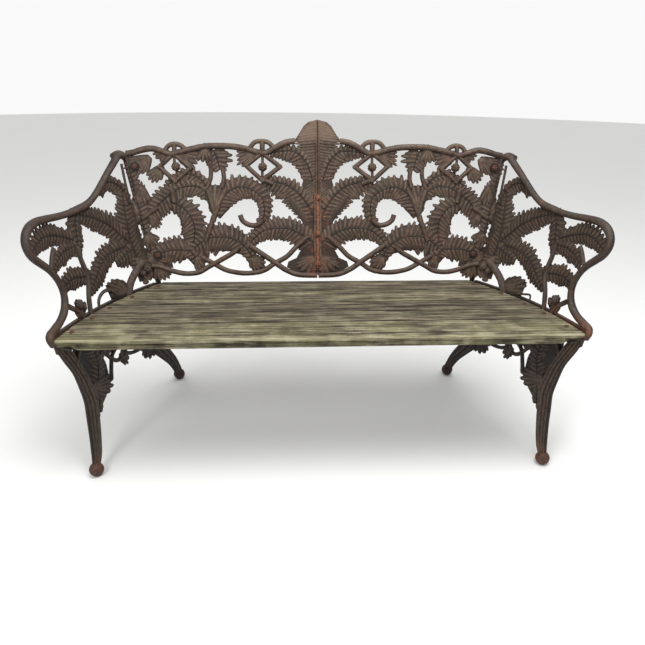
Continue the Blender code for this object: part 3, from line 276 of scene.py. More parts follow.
FRONT_LEG = (
    (49.4, 42.3, 1.4), (48, 39.5, 1.9), (46.3, 36, 2.4), (44.4, 31, 2.3), (43.2, 26, 2.6), (42.6, 20, 2.8),
    (44, 15, 2.7), (45.6, 10, 2.5), (47.7, 5, 2.2), (49.6, 2.4, 1.6),
)
REAR_LEG = (
    (1.2, 41.5, 2.0), (3, 36, 2.2), (5, 30, 2.4), (6.2, 24, 2.8), (5.5, 19, 3.0), (3.6, 15, 2.6),
    (1.3, 10, 2.0), (0, 5, 1.6), (0, 2.4, 1.5),
)
LEG_FLATNESS = 0.42
# The stems cast along a leg's face: how far off its middle, in leg radii, and how thick
FRONT_LEG_STEMS = ((-0.62, 0.24), (-0.12, 0.27), (0.38, 0.25), (0.74, 0.18))
REAR_LEG_STEMS = ((-0.5, 0.3), (0.1, 0.3), (0.6, 0.24))
POST_LEVELS = (-1.5, 4, 10, 16, 22, 28, 34, 39.5)
POST_SETBACK = 0.6
POST_DEPTH = -1.75
POST_RADIUS = 0.85
# Lugs where an end is bolted to the back
LUGS = ((56.5, 36.9), (50.6, 9.6))
LUG_RADIUS = 1.5
LUG_FRONT = 0.9
LUG_BACK = -1.43
PLATE = 0.4
BALL_RADIUS = 0.0205
BALL_HEIGHT = 0.0185
LEDGE_SPAN = (0.8, 49.2)
LEDGE_LOW = 39.1
LEDGE_TOP = 39.75
LEDGE_REACH = 4.4
SIDE_BAND = (37.6, 42.4)
STRIP_STEPS = 16

# The seat, front slat first: front and rear edge, how dark and how damp the board is, and its cracks
SLATS = (
    ("seat_slat_1_front", -0.285, -0.172, 0.0, 0.62, 7),
    ("seat_slat_2", -0.168, -0.097, 0.10, 0.20, 5),
    ("seat_slat_3", -0.093, -0.020, 0.26, 0.08, 5),
    ("seat_slat_4", -0.016, 0.084, 0.06, 0.30, 8),
    ("seat_slat_5_rear", 0.088, 0.173, 0.20, 0.10, 7),
)
SLAT_THICKNESS = 0.022
END_CLEAR = 0.008
# The worn board's section: eased corners, grooves, and the front board's nose and the lip under it
BOARD_EASE = 0.0028
GROOVE_WIDTH = 0.0034
GROOVE_DEPTH = 0.0022
REAR_GROOVE = 0.0075
NOSE_BACK = 0.030
NOSE_GROOVE = NOSE_BACK + 0.001
NOSE_INSET = 0.0005
NOSE_ROUND = 0.008
NOSE_FALL = 0.0006
LIP_DROP = 0.0115
LIP_STEP = 0.0032
LIP_HALF = 0.655  # past this half-width the lip stands back, clear of the end castings
LIP_SETBACK = 0.009
LIP_BELOW = 0.0075
BOARD_SPANS = 130
BOARD_SPARE = 0.02  # a board is drawn this much too long at each end, and then cut
CRACK_FADE = 0.05  # a crack gets shallower over this length at each end
JOINT_BOLTS = (27.3, 16.0, 6.6)
LAND = 0.8
STRIP = (5.4, 28.6)
STRIP_DEPTH = 0.55
STRIP_HALF = 0.55
STRIP_SPANS = 60
BOLT_LUMP = 0.75  # how far along the strip it swells at a bolt

# Camera and stage
CAMERA_PLACE = (-0.107, -1.719, 1.082)
CAMERA_YAW = math.radians(-3.79)
CAMERA_PITCH = math.radians(23.24)
CAMERA_ROLL = math.radians(-0.83)
CAMERA_SENSOR = 36.0
CAMERA_LENS = 33.39
FLOOR_RADIUS = 14.0
# The lights: place, aim, size and power
LIGHTS = (
    ("overhead softbox", (0.5, -0.4, 2.9), (0, 0, 0.4), 1.6, 60),
    ("front softbox", (-1.5, -2.3, 2.3), (0, 0.1, 0.5), 1.0, 34),
)
# The dark of the cracks and grooves and painted shade on the boards' sides, and specks, too small to be
# colours of their own in the panel
GAP_SHADE_AND_CRACK_DARK = "#1f1a15"
SPECK_PALE = "#b9b3a2"
FLOOR_SHADE = "#d2d2d0"


def mix(a, b, k):
    """The value k of the way from a to b."""
    return a + (b - a) * k


def along(table, z):
    """Value at z from (z, value) pairs, in straight runs, held past both ends."""
    if z <= table[0][0]:
        return table[0][1]
    for (z0, v0), (z1, v1) in zip(table, table[1:]):
        if z <= z1:
            return mix(v0, v1, (z - z0) / (z1 - z0))
    return table[-1][1]


def share_of(values, share):
    """Value at a share, 0 to 1, of the way through evenly spaced values."""
    return along([(i / (len(values) - 1), value) for i, value in enumerate(values)], share)


def back_y(z):
    """Where the back's middle plane stands at height z."""
    return BACK_Y + (z - BACK_BASE) * SIN / COS


def corner_half(z):
    """Half-width of the corner line, where the back meets an end, above the seat."""
    return mix(SEAT_REAR_HALF, KNOT_HALF, (z - SEAT_TOP) / (KNOT_Z - SEAT_TOP))


def on_back(across, up, depth):
    """A point of the back pattern in space. Depth grows towards the sitter."""
    rise = BACK_DROP + up * (KNOT_RISE - BACK_DROP) / PATTERN_KNOT[1]
    z = BACK_BASE + rise * COS
    edge = mix(PATTERN_FOOT_EDGE, PATTERN_KNOT[0], (z - SEAT_TOP) / (KNOT_Z - SEAT_TOP))
    x = across * corner_half(z) / edge
    return Vector((x, BACK_Y + rise * SIN - depth * UNIT * COS, z + depth * UNIT * SIN))


def end_lines(z):
    """(x, y) of the rear corner line and of the front line of the end, at height z."""
    if z >= SEAT_TOP:
        rear = (corner_half(z), back_y(z))
    else:
        middle = (SEAT_TOP / 2, mix(REAR_FOOT[1], back_y(SEAT_TOP), 0.6))
        rear = (mix(REAR_FOOT[0], SEAT_REAR_HALF, z / SEAT_TOP),
                along(((0, REAR_FOOT[1]), middle, (SEAT_TOP, back_y(SEAT_TOP))), z))
    arm = SEAT_TOP + ARM_TIP_RISE
    front_x = along(((0, FRONT_FOOT[0]), FRONT_WAIST, (SEAT_TOP, SEAT_FRONT_HALF), (arm, ARM_HALF)), z)
    front_y = along(((0, FRONT_FOOT[1]), (SEAT_TOP, SEAT_FRONT_Y), (arm, ARM_FRONT_Y)), z)
    return rear, (front_x, front_y)


def on_end_at(along_end, z, depth):
    """A point of the right-hand end at a real height z. Depth, in metres, grows towards the sitter."""
    (rx, ry), (fx, fy) = end_lines(z)
    k = along_end / END_UNITS
    dx, dy = fx - rx, fy - ry
    length = math.hypot(dx, dy)
    out = END_BOW * 4 * k * (1 - k) - depth
    return Vector((rx + dx * k - dy / length * out, ry + dy * k + dx / length * out, z))


def on_end(across, up, depth):
    """A point of the end pattern in space."""
    if up <= END_SEAT_LEVEL:
        z = SEAT_TOP * up / END_SEAT_LEVEL
    else:
        z = mix(SEAT_TOP, KNOT_Z, (up - END_SEAT_LEVEL) / (END_KNOT_LEVEL - END_SEAT_LEVEL))
    return on_end_at(across, z, depth * UNIT)


def end_x(y):
    """Where a slat's end stops at y, clear of the end casting."""
    stations = [on_end_at(END_UNITS * i / 20, SEAT_TOP, END_CLEAR) for i in range(-2, 22)]
    return along([(-p.y, p.x) for p in stations], -y)


def linear(code):
    """An sRGB hex colour as linear red, green, blue and alpha."""
    channels = [int(code[i:i + 2], 16) / 255 for i in (1, 3, 5)]
    return (*(c / 12.92 if c <= 0.04045 else ((c + 0.055) / 1.055) ** 2.4 for c in channels), 1.0)


def smooth_route(points, steps):
    """A Catmull-Rom curve through the points, with steps points to a span."""
    out = []
    for i in range(len(points) - 1):
        p = [points[min(max(i + j, 0), len(points) - 1)] for j in (-1, 0, 1, 2)]
        for step in range(steps):
            t = step / steps
            weights = (
                -0.5 * t + t * t - 0.5 * t**3,
                1 - 2.5 * t * t + 1.5 * t**3,
                0.5 * t + 2 * t * t - 1.5 * t**3,
                -0.5 * t * t + 0.5 * t**3,
            )
            out.append(tuple(sum(w * q[axis] for w, q in zip(weights, p)) for axis in range(len(points[0]))))
    return out + [tuple(points[-1])]


def walk(route, pitch):
    """Evenly spaced (point, direction, share of the way) along a flat route."""
    points = [Vector(p[:2]) for p in route]
    lengths = [0.0]
    for a, b in zip(points, points[1:]):
        lengths.append(lengths[-1] + (b - a).length)
    count = max(2, round(lengths[-1] / pitch))
    for i in range(count):
        share = (i + 0.5) / count
        at = share * lengths[-1]
        k = next(j for j in range(1, len(points)) if lengths[j] >= at)
        a, b = points[k - 1], points[k]
        span = max(lengths[k] - lengths[k - 1], 1e-9)
        yield a.lerp(b, (at - lengths[k - 1]) / span), (b - a).normalized(), share


def as_mesh(piece, name):
    """Turns a finished piece into a mesh."""
    mesh = bpy.data.meshes.new(name)
    piece.to_mesh(mesh)
    piece.free()
    return mesh


def pour(piece, target):
    """Adds a finished piece to the casting it belongs to."""
    mesh = as_mesh(piece, "poured")
    target.from_mesh(mesh)
    bpy.data.meshes.remove(mesh)


def set_crest(piece, rule):
    """Gives each corner of a piece its crest value, which sets its painted highlight and shade, by a rule on
    its place.
    """
    crest_shading = piece.verts.layers.float.new("crest_shading")
    for vertex in piece.verts:
        vertex[crest_shading] = rule(vertex.co)


def only(items, kind):
    """The items of one kind, such as the corners, among what an operator made."""
    return [item for item in items if isinstance(item, kind)]


def carry(piece, face, moves):
    """Pulls a face through a list of moves, one span to a move, and leaves only the two end caps."""
    inner = []
    for move in moves:
        grown = bmesh.ops.extrude_face_region(piece, geom=face)["geom"]
        bmesh.ops.transform(piece, matrix=move, verts=only(grown, bmesh.types.BMVert))
        face = only(grown, bmesh.types.BMFace)
        inner.extend(face)
    bmesh.ops.delete(piece, geom=inner[:-1], context="FACES_ONLY")


def cut_off(piece, place, outward):
    """Cuts a piece with a plane, throws the outer part away and closes the cut."""
    geometry = piece.verts[:] + piece.edges[:] + piece.faces[:]
    cut = bmesh.ops.bisect_plane(piece, geom=geometry, plane_co=place, plane_no=outward, clear_outer=True)
    bmesh.ops.contextual_create(piece, geom=only(cut["geom_cut"], bmesh.types.BMEdge))


def heading(points, i):
    """The direction of a route at its point i."""
    return (points[min(i + 1, len(points) - 1)] - points[max(i - 1, 0)]).normalized()


def stamp(target, template, matrix):
    """Adds a copy of a template mesh, placed by the matrix."""
    shape = template.copy()
    shape.transform(matrix)
    target.from_mesh(shape)
    bpy.data.meshes.remove(shape)


def station(point, direction, half_across, half_depth, depth):
    """The matrix that puts a unit section at a point of a route."""
    aside = Vector((-direction.y, direction.x, 0)) * half_across
    ahead = Vector((direction.x, direction.y, 0))
    turn = Matrix((aside, Vector((0, 0, half_depth)), ahead)).transposed().to_4x4()
    return Matrix.Translation((point.x, point.y, depth)) @ turn


def sweep(target, stations, sides=BAR_SIDES, shine=1.0):
    """A closed bar, its section carried through (x, y, half across, half depth, depth) stations."""
    piece = bmesh.new()
    points = [Vector(s[:2]) for s in stations]
    places = [station(points[i], heading(points, i), *s[2:]) for i, s in enumerate(stations)]
    bmesh.ops.create_circle(piece, cap_ends=True, segments=sides, radius=1)
    # A bar's crest value is full on its outer and inner faces and half on its sides, so that its sides are
    # painted in shade
    set_crest(piece, lambda place: shine * (0.5 + 0.5 * abs(place.y)))
    bmesh.ops.transform(piece, matrix=places[0], verts=piece.verts)
    carry(piece, piece.faces[:], [after @ before.inverted() for before, after in zip(places, places[1:])])
    bmesh.ops.recalc_face_normals(piece, faces=piece.faces)
    pour(piece, target)


def stem(target, route, radius, depth, flat=0.85, steps=5, sides=BAR_SIDES, taper=1.0, shine=0.88):
    """A round stem of one radius along a smooth route, thinning to a share of it at the far end."""
    points = smooth_route(route, steps)
    last = len(points) - 1
    stations = []
    for i, (x, y) in enumerate(points):
        r = radius * mix(1, taper, i / last) * (1 + 0.07 * noise.noise(Vector((x, y, depth))))
        stations.append((x, y, r, r * flat, depth))
    sweep(target, stations, sides, shine)


def member(target, route, flat, depth, sides=12, steps=5, shine=1.0):
    """A heavy member whose radius changes along its (x, y, radius) route."""
    points = smooth_route(route, steps)
    sweep(target, [(x, y, r, r * flat, depth) for x, y, r in points], sides, shine)


def leaflet_crest(place):
    """A painted highlight along the back of a leaflet, and painted shade along its edges."""
    girth = math.hypot(place.y, place.z)
    return abs(place.z) / girth if girth > 0.01 else 0.8


def leaflet_template():
    """A leaflet one unit long: a lens with a crease along its back, blunt at the root."""
    piece = bmesh.new()
    bmesh.ops.create_uvsphere(piece, u_segments=6, v_segments=6, radius=1)
    turn = Matrix.Rotation(math.radians(90), 4, "Y") @ Matrix.Rotation(math.radians(30), 4, "Z")
    bmesh.ops.transform(piece, matrix=turn, verts=piece.verts)
    set_crest(piece, leaflet_crest)
    for vertex in piece.verts:
        swell = along(LEAFLET_SWELL, vertex.co.x)
        vertex.co.y *= swell
        vertex.co.z *= swell
    bmesh.ops.transform(piece, matrix=Matrix.Translation((0.5, 0, 0)) @ Matrix.Diagonal((0.5, 1, 1, 1)),
                        verts=piece.verts)
    return as_mesh(piece, "leaflet")


def leaflet(target, template, root, tip, half, height, depth, fall):
    """One leaflet between two flat points, its tip falling away below its root."""
    a = Vector((root[0], root[1], depth))
    b = Vector((tip[0], tip[1], depth - fall))
    length = b - a
    aside = Vector((-length.y, length.x, 0)).normalized() * half
    lift = length.normalized().cross(aside.normalized()) * height
    turn = Matrix((length, aside, lift)).transposed().to_4x4()
    stamp(target, template, Matrix.Translation(a) @ turn)


def frond(target, template, sizes, midrib, left, right, depth):
    """A fern frond: a thin web, a sunk midrib and a leaflet on each side at every pitch."""
    points = [Vector(p) for p in smooth_route(midrib, 5)]
    web = []
    for i, point in enumerate(points):
        direction = heading(points, i)
        aside = Vector((-direction.y, direction.x))
        share = i / (len(points) - 1)
        l, r = share_of(left, share) * FROND_WEB, share_of(right, share) * FROND_WEB
        middle = point + aside * (l - r) / 2
        web.append((middle.x, middle.y, (l + r) / 2, sizes.web / UNIT, depth + FROND_WEB_DEPTH))
    # The web's lower shine paints shade where it shows between the leaflets, and the midrib's low shine
    # paints it in shade, as a dark groove
    sweep(target, web, shine=0.85)
    stem(target, midrib, MIDRIB_RADIUS, depth + MIDRIB_DEPTH, sides=6, taper=0.6, shine=0.45)
    pitch = sizes.leaflet_pitch / UNIT
    for point, direction, share in walk(points, pitch):
        aside = Vector((-direction.y, direction.x))
        for side, reaches in ((1, left), (-1, right)):
            reach = share_of(reaches, share)
            reach *= 1.03 + 0.22 * noise.noise(Vector((point.x * 1.7, point.y * 1.7, side * 9.0)))
            lean = LEAFLET_LEAN + 0.14 * noise.noise(Vector((point.x, point.y, side * 4.0)))
            out = (aside * side + direction * lean).normalized()
            ends = (point + out * LEAFLET_START, point + out * reach)
            half = pitch * LEAFLET_BREADTH * (1 + 0.05 * noise.noise(Vector((point.x * 3, point.y * 3, 1.0))))
            leaflet(target, template, *ends, half, sizes.relief / UNIT, depth + LEAFLET_DEPTH,
                    0.10 + 0.09 * reach)


def fan(target, template, sizes, root, tips, depth):
    """A leaf whose leaflets spread from one point, side by side."""
    last = len(tips) - 1
    for i, tip in enumerate(tips):
        away = (Vector(tip) - Vector(root)).length
        spread = (Vector(tips[min(i + 1, last)]) - Vector(tips[max(i - 1, 0)])).length
        spread /= 2 if 0 < i < last else 1
        half = min(max(spread * 0.62, 0.5), away * 0.45)
        height = sizes.relief / UNIT * 1.05
        leaflet(target, template, root, tip, half, height, depth + 0.2 + 0.03 * (i % 2), 0.25)


def berry(target, across, up, radius, depth):
    """A blackberry: a ball of small round drupelets."""
    drupelet = radius * DRUPELET
    for ring, (tilt, count) in enumerate(BERRY_RINGS):
        lean = math.radians(tilt)
        for i in range(count):
            turn = 2 * math.pi * (i + 0.5 * ring) / count
            spot = Vector((math.sin(lean) * math.cos(turn), math.sin(lean) * math.sin(turn), math.cos(lean)))
            piece = bmesh.new()
            bmesh.ops.create_icosphere(piece, subdivisions=1, radius=drupelet)
            # Each drupelet is painted light on its outer side and in shade on its side towards the berry's
            # middle
            set_crest(piece, lambda place: 0.5 + 0.5 * place.z / drupelet)
            place = Vector((across, up, depth)) + spot * (radius - drupelet) * 0.95
            bmesh.ops.translate(piece, verts=piece.verts, vec=place)
            pour(piece, target)
    core = bmesh.new()
    bmesh.ops.create_icosphere(core, subdivisions=2, radius=radius * 0.8)
    bmesh.ops.translate(core, verts=core.verts, vec=(across, up, depth))
    pour(core, target)


def web_plate(target, outline):
    """A plain plate of metal, in faces small enough to follow the surface that it is laid on."""
    piece = bmesh.new()
    face = piece.faces.new([piece.verts.new((x, y, -PLATE)) for x, y in outline])
    face.normal_update()
    if face.normal.z < 0:
        face.normal_flip()
    grown = bmesh.ops.extrude_face_region(piece, geom=[face])["geom"]
    bmesh.ops.translate(piece, verts=only(grown, bmesh.types.BMVert), vec=(0, 0, WEB_TOP + PLATE))
    bmesh.ops.triangulate(piece, faces=[f for f in piece.faces if len(f.verts) > 4])
    bmesh.ops.subdivide_edges(piece, edges=[e for e in piece.edges if e.calc_length() > WEB_EDGE], cuts=2,
                              use_grid_fill=True)
    bmesh.ops.triangulate(piece, faces=piece.faces)
    bmesh.ops.recalc_face_normals(piece, faces=piece.faces)
    set_crest(piece, lambda place: PLAIN_CREST)
    pour(piece, target)


def strip_bar(target, low, high):
    """A straight strip between two corners, cut across so that it follows a bow."""
    piece = bmesh.new()
    bmesh.ops.create_cube(piece, size=1)
    size = [b - a for a, b in zip(low, high)]
    middle = [(a + b) / 2 for a, b in zip(low, high)]
    bmesh.ops.transform(piece, matrix=Matrix.Translation(middle) @ Matrix.Diagonal((*size, 1)),
                        verts=piece.verts)
    for i in range(1, STRIP_STEPS):
        geometry = piece.verts[:] + piece.edges[:] + piece.faces[:]
        place = (mix(low[0], high[0], i / STRIP_STEPS), 0, 0)
        bmesh.ops.bisect_plane(piece, geom=geometry, plane_co=place, plane_no=(1, 0, 0))
    set_crest(piece, lambda place: PLAIN_CREST)
    pour(piece, target)


def lay(flat, surface, target):
    """Lays a flat pattern on its surface."""
    for vertex in flat.verts:
        vertex.co = surface(*vertex.co)
    pour(flat, target)


def casting(name, shape, left):
    """Makes a casting's object; a left-hand one is the mirror image of the shape."""
    if left:
        bmesh.ops.transform(shape, matrix=Matrix.Diagonal((-1, 1, 1, 1)), verts=shape.verts)
    bmesh.ops.recalc_face_normals(shape, faces=shape.faces)
    return present(name, as_mesh(shape, name), 48)


def present(name, mesh, angle):
    """Links a finished mesh as an object at the origin, smooth but for its sharp edges."""
    mesh.shade_smooth()
    mesh.set_sharp_from_angle(angle=math.radians(angle))
    obj = bpy.data.objects.new(name, mesh)
    bpy.context.scene.collection.objects.link(obj)
    return obj


def leafwork(webs, fronds, fans, stems, berries, sizes, template, fan_depth, spread=1.0):
    """A casting's flat pattern: its plain webs, and the fronds, fans, stems and berries over them."""
    flat = bmesh.new()
    for outline in webs:
        web_plate(flat, outline)
    for i, (midrib, left, right) in enumerate(fronds):
        sides = [[reach * spread for reach in side] for side in (left, right)]
        frond(flat, template, sizes, midrib, *sides, LAYER * i)
    for i, (root, tips) in enumerate(fans):
        fan(flat, template, sizes, root, tips, fan_depth + LAYER / 2 * i)
    for route, radius, depth in stems:
        stem(flat, route, radius, depth)
    for across, up, radius in berries:
        berry(flat, across, up, radius, BERRY_DEPTH)
    return flat


def lug_boss(across, up, low, high, taper=1.0):
    """A round boss for a bolt, between two depths, drawn flat."""
    boss = bmesh.new()
    bmesh.ops.create_cone(boss, cap_ends=True, segments=24, radius1=LUG_RADIUS, radius2=LUG_RADIUS * taper,
                          depth=high - low)
    bmesh.ops.translate(boss, verts=boss.verts, vec=(across, up, (low + high) / 2))
    return boss


def hood(target, template, sizes):
    """Half of the hood over the middle of the back, its leaflets level at the top and drooping below."""
    low, high = HOOD[0][0], HOOD[-1][0] - 0.3
    for i in range(HOOD_LEAFLETS):
        level = mix(low, high, i / (HOOD_LEAFLETS - 1))
        reach = along(HOOD, level)
        tip = (reach, level - along(HOOD_DROOP, level) * reach)
        height, depth = 0.7 * sizes.relief / UNIT, 0.28 + along(HOOD_BULGE, level)
        leaflet(target, template, (0.12, level), tip, 0.6, height, depth, 0.35)


class BenchSizes(bpy.types.PropertyGroup):
    leaflet_pitch: bpy.props.FloatProperty(
        name="Leaflet pitch", description="Distance from one leaflet of a frond to the next",
        default=0.0135, min=0.004, max=0.03, subtype="DISTANCE", unit="LENGTH")
    relief: bpy.props.FloatProperty(
        name="Leaflet relief", description="How far a leaflet stands up from its own middle",
        default=0.0022, min=0.001, max=0.01, subtype="DISTANCE", unit="LENGTH")
    web: bpy.props.FloatProperty(
        name="Web thickness", description="Half the thickness of the metal under the leaflets",
        default=0.0028, min=0.001, max=0.006, subtype="DISTANCE", unit="LENGTH")
    grain_step: bpy.props.FloatProperty(
        name="Grain step", description="Distance between the raised lines of a weathered slat",
        default=0.0022, min=0.001, max=0.01, subtype="DISTANCE", unit="LENGTH")
    grain_depth: bpy.props.FloatProperty(
        name="Grain depth", description="How deep the weather has worn between the raised lines",
        default=0.0007, min=0.0, max=0.002, subtype="DISTANCE", unit="LENGTH")
    crack_depth: bpy.props.FloatProperty(
        name="Crack depth", description="Depth of the cracks that run along a slat",
        default=0.0035, min=0.0, max=0.008, subtype="DISTANCE", unit="LENGTH")


def colour_property(name, description, code):
    """A colour that a user can change, its default given in hex."""
    return bpy.props.FloatVectorProperty(
        name=name, description=description, size=4, min=0, max=1, subtype="COLOR", default=linear(code))


class BenchColours(bpy.types.PropertyGroup):
    iron: colour_property("Iron", "Brown patina of the castings", "#422f26")
    # This colour paints the shade in the hollows and under the seat, darkens the ends, and darkens patches of
    # the patina
    iron_dark: colour_property("Iron, sunk", "Grime in the hollows of the castings", "#120d0b")
    # This colour paints the highlight on the crests and lightens the top of the hood
    iron_light: colour_property("Iron, raised", "Dry worn crests of the castings", "#7c6756")
    iron_olive: colour_property("Iron, lichen", "Grey-olive bloom on the castings", "#48422f")
    rust: colour_property("Rust", "Open orange-brown rust", "#9a5f42")
    rust_dark: colour_property("Dark rust", "Older brown rust", "#5c382a")
    wood: colour_property("Wood", "Silvered brown board", "#655a4c")
    wood_light: colour_property("Wood, raised", "Dry raised grain", "#9c927a")
    # This colour also darkens whole boards by their own tone, and paints the shade on the face under the
    # front board's nose
    wood_dark: colour_property("Wood, sunk", "Damp grain and cracks", "#2e2720")
    algae: colour_property("Algae", "Green algae near the front", "#7c7b56")
    # This colour also paints the highlight along the top edge of the front board's nose
    lichen: colour_property("Lichen", "Pale yellow-green lichen", "#a09a7e")
    floor: colour_property("Floor", "Pale studio floor", "#ebebea")


def fill(tree, node, inputs):
    """Sets a node's sockets to plain values, or links them to the outputs of other nodes."""
    for name, value in inputs.items():
        if isinstance(value, bpy.types.NodeSocket):
            tree.links.new(value, node.inputs[name])
        else:
            node.inputs[name].default_value = value


def add(tree, kind, inputs=None, **settings):
    """Adds a node with its settings and its sockets set or linked."""
    made = tree.nodes.new(kind)
    for name, value in settings.items():
        setattr(made, name, value)
    fill(tree, made, inputs or {})
    return made


def start_material(name):
    """An empty node material: its tree, its shader and its Object coordinates."""
    material = bpy.data.materials.new(name)
    material.use_nodes = True
    tree = material.node_tree
    tree.nodes.clear()
    shader = add(tree, "ShaderNodeBsdfPrincipled")
    add(tree, "ShaderNodeOutputMaterial", {"Surface": shader.outputs["BSDF"]})
    coordinates = add(tree, "ShaderNodeTexCoord").outputs["Object"]
    return material, tree, shader, coordinates


def pattern_scale(size_mm):
    """The scale of a texture whose features are this wide."""
    return 1000 / size_mm


def spots(tree, coordinates, size_mm, low, high, detail=4.0, offset=(0, 0, 0)):
    """A soft mask of patches of about this size, rising from low to high on the noise."""
    moved = add(tree, "ShaderNodeMapping", {"Vector": coordinates, "Location": offset}).outputs[0]
    field = add(tree, "ShaderNodeTexNoise", {"Vector": moved, "Scale": pattern_scale(size_mm),
                                             "Detail": detail, "Roughness": 0.6})
    limits = {"Value": field.outputs["Fac"], "From Min": low, "From Max": high}
    return add(tree, "ShaderNodeMapRange", limits, interpolation_type="SMOOTHSTEP").outputs["Result"]


def rise(tree, value, low, high, top=1.0, bottom=0.0):
    """A mask that goes from bottom to top while the value goes from low to high."""
    limits = {"Value": value, "From Min": low, "From Max": high, "To Min": bottom, "To Max": top}
    return add(tree, "ShaderNodeMapRange", limits).outputs["Result"]


def join(tree, operation, *masks):
    """One mask made of several: their product, their sum or the strongest of them."""
    whole = masks[0]
    for mask in masks[1:]:
        made = add(tree, "ShaderNodeMath", {0: whole, 1: mask}, operation=operation, use_clamp=True)
        whole = made.outputs[0]
    return whole


def cover(tree, under, over, *masks):
    """One colour laid over another, as far as the product of the masks lets it."""
    factor = join(tree, "MULTIPLY", *masks)
    return add(tree, "ShaderNodeMix", {0: factor, 6: under, 7: over}, data_type="RGBA").outputs[2]


def cast_iron(colours, name, rust_share):
    """Sand-cast iron, its paint long gone: matt brown with painted shade in its hollows, a painted highlight
    on its crests, and open rust.

    The painted shade in the hollows draws every leaflet, and the grey-olive bloom dulls the faces that the
    rain reaches.
    """
    material, tree, shader, coordinates = start_material(name)
    place = add(tree, "ShaderNodeSeparateXYZ", {"Vector": coordinates})
    across, level = place.outputs["X"], place.outputs["Z"]
    wide = add(tree, "ShaderNodeMath", {0: across}, operation="ABSOLUTE").outputs[0]
    crest_shading = add(tree, "ShaderNodeAttribute", attribute_name="crest_shading").outputs["Fac"]
    normal = add(tree, "ShaderNodeNewGeometry").outputs["Normal"]
    facing = add(tree, "ShaderNodeSeparateXYZ", {"Vector": normal}).outputs["Z"]
    # Patina that differs from patch to patch, under an olive bloom on what faces the sky
    tone = cover(tree, colours.iron, colours.iron_dark, spots(tree, coordinates, 60, 0.35, 0.68))
    tone = cover(tree, colours.iron, tone, spots(tree, coordinates, 60, 0.3, 0.7), 0.62)
    tone = cover(tree, tone, colours.iron_olive, spots(tree, coordinates, 85, 0.42, 0.66, offset=(3, 1, 7)),
                 rise(tree, facing, -0.2, 0.7, top=0.65, bottom=0.22))
    # Painted highlight on the crests, in patches; the top of the hood lighter; and painted shade in the
    # hollows
    tone = cover(tree, tone, colours.iron_light, rise(tree, crest_shading, 0.70, 1.0),
                 spots(tree, coordinates, 14, 0.26, 0.66), 0.8)
    tone = cover(tree, tone, colours.iron_light, rise(tree, level, 0.84, 0.88), 0.62)
    tone = cover(tree, tone, colours.iron_dark, rise(tree, crest_shading, 0.34, 0.64, top=0.0, bottom=0.93))
    # Open rust: scattered patches, the feet, the corners beside the seat's front, and the centre joint
    patches = join(tree, "MULTIPLY", 0.55,
                   spots(tree, coordinates, 45, 0.60, 0.74, detail=6, offset=(5, 5, 5)))
    feet = join(tree, "MULTIPLY", rise(tree, level, 0.075, 0.03), 0.75)
    corners = join(tree, "MULTIPLY", rise(tree, wide, 0.66, 0.70), rise(tree, across, -0.2, 0.2, bottom=0.3),
                   rise(tree, level, 0.40, 0.425), rise(tree, level, 0.455, 0.44), 0.7)
    middle = join(tree, "MULTIPLY", rise(tree, wide, 0.05, 0.015), rise(tree, level, 0.74, 0.70),
                  spots(tree, coordinates, 26, 0.42, 0.62, detail=5, offset=(2, 0, 0)), 0.5)
    rust = join(tree, "MAXIMUM", patches, feet, corners, middle, rust_share)
    rust_tone = cover(tree, colours.rust_dark, colours.rust,
                      spots(tree, coordinates, 9, 0.38, 0.62, detail=6))
    tone = cover(tree, tone, rust_tone, rust, spots(tree, coordinates, 5, 0.2, 0.6, detail=5))
    # Painted shade under the seat, deepest in its hollows; and all the iron more than 0.56 m out from the
    # middle, over the ends, a little darker
    low = rise(tree, level, 0.40, 0.34)
    tone = cover(tree, tone, colours.iron_dark, low, rise(tree, wide, 0.64, 0.57), 0.65)
    tone = cover(tree, tone, colours.iron_dark, low, rise(tree, crest_shading, 0.9, 0.6), 0.6)
    tone = cover(tree, tone, colours.iron_dark, rise(tree, wide, 0.52, 0.60), 0.34)
    # The sand's pits, over broader flakes that also break up the gloss
    pits = add(tree, "ShaderNodeTexNoise",
               {"Vector": coordinates, "Scale": pattern_scale(2.6), "Detail": 3.0}).outputs["Fac"]
    flakes = add(tree, "ShaderNodeTexNoise",
                 {"Vector": coordinates, "Scale": pattern_scale(9), "Detail": 4.0}).outputs["Fac"]
    height = add(tree, "ShaderNodeMath", {0: pits, 1: flakes}, operation="ADD").outputs[0]
    bump = add(tree, "ShaderNodeBump", {"Height": height, "Strength": 0.45, "Distance": 0.0012})
    fill(tree, shader, {"Base Color": tone, "Normal": bump.outputs["Normal"], "Metallic": 0.15,
                        "Roughness": rise(tree, flakes, 0.3, 0.7, top=0.78, bottom=0.50)})
    return material


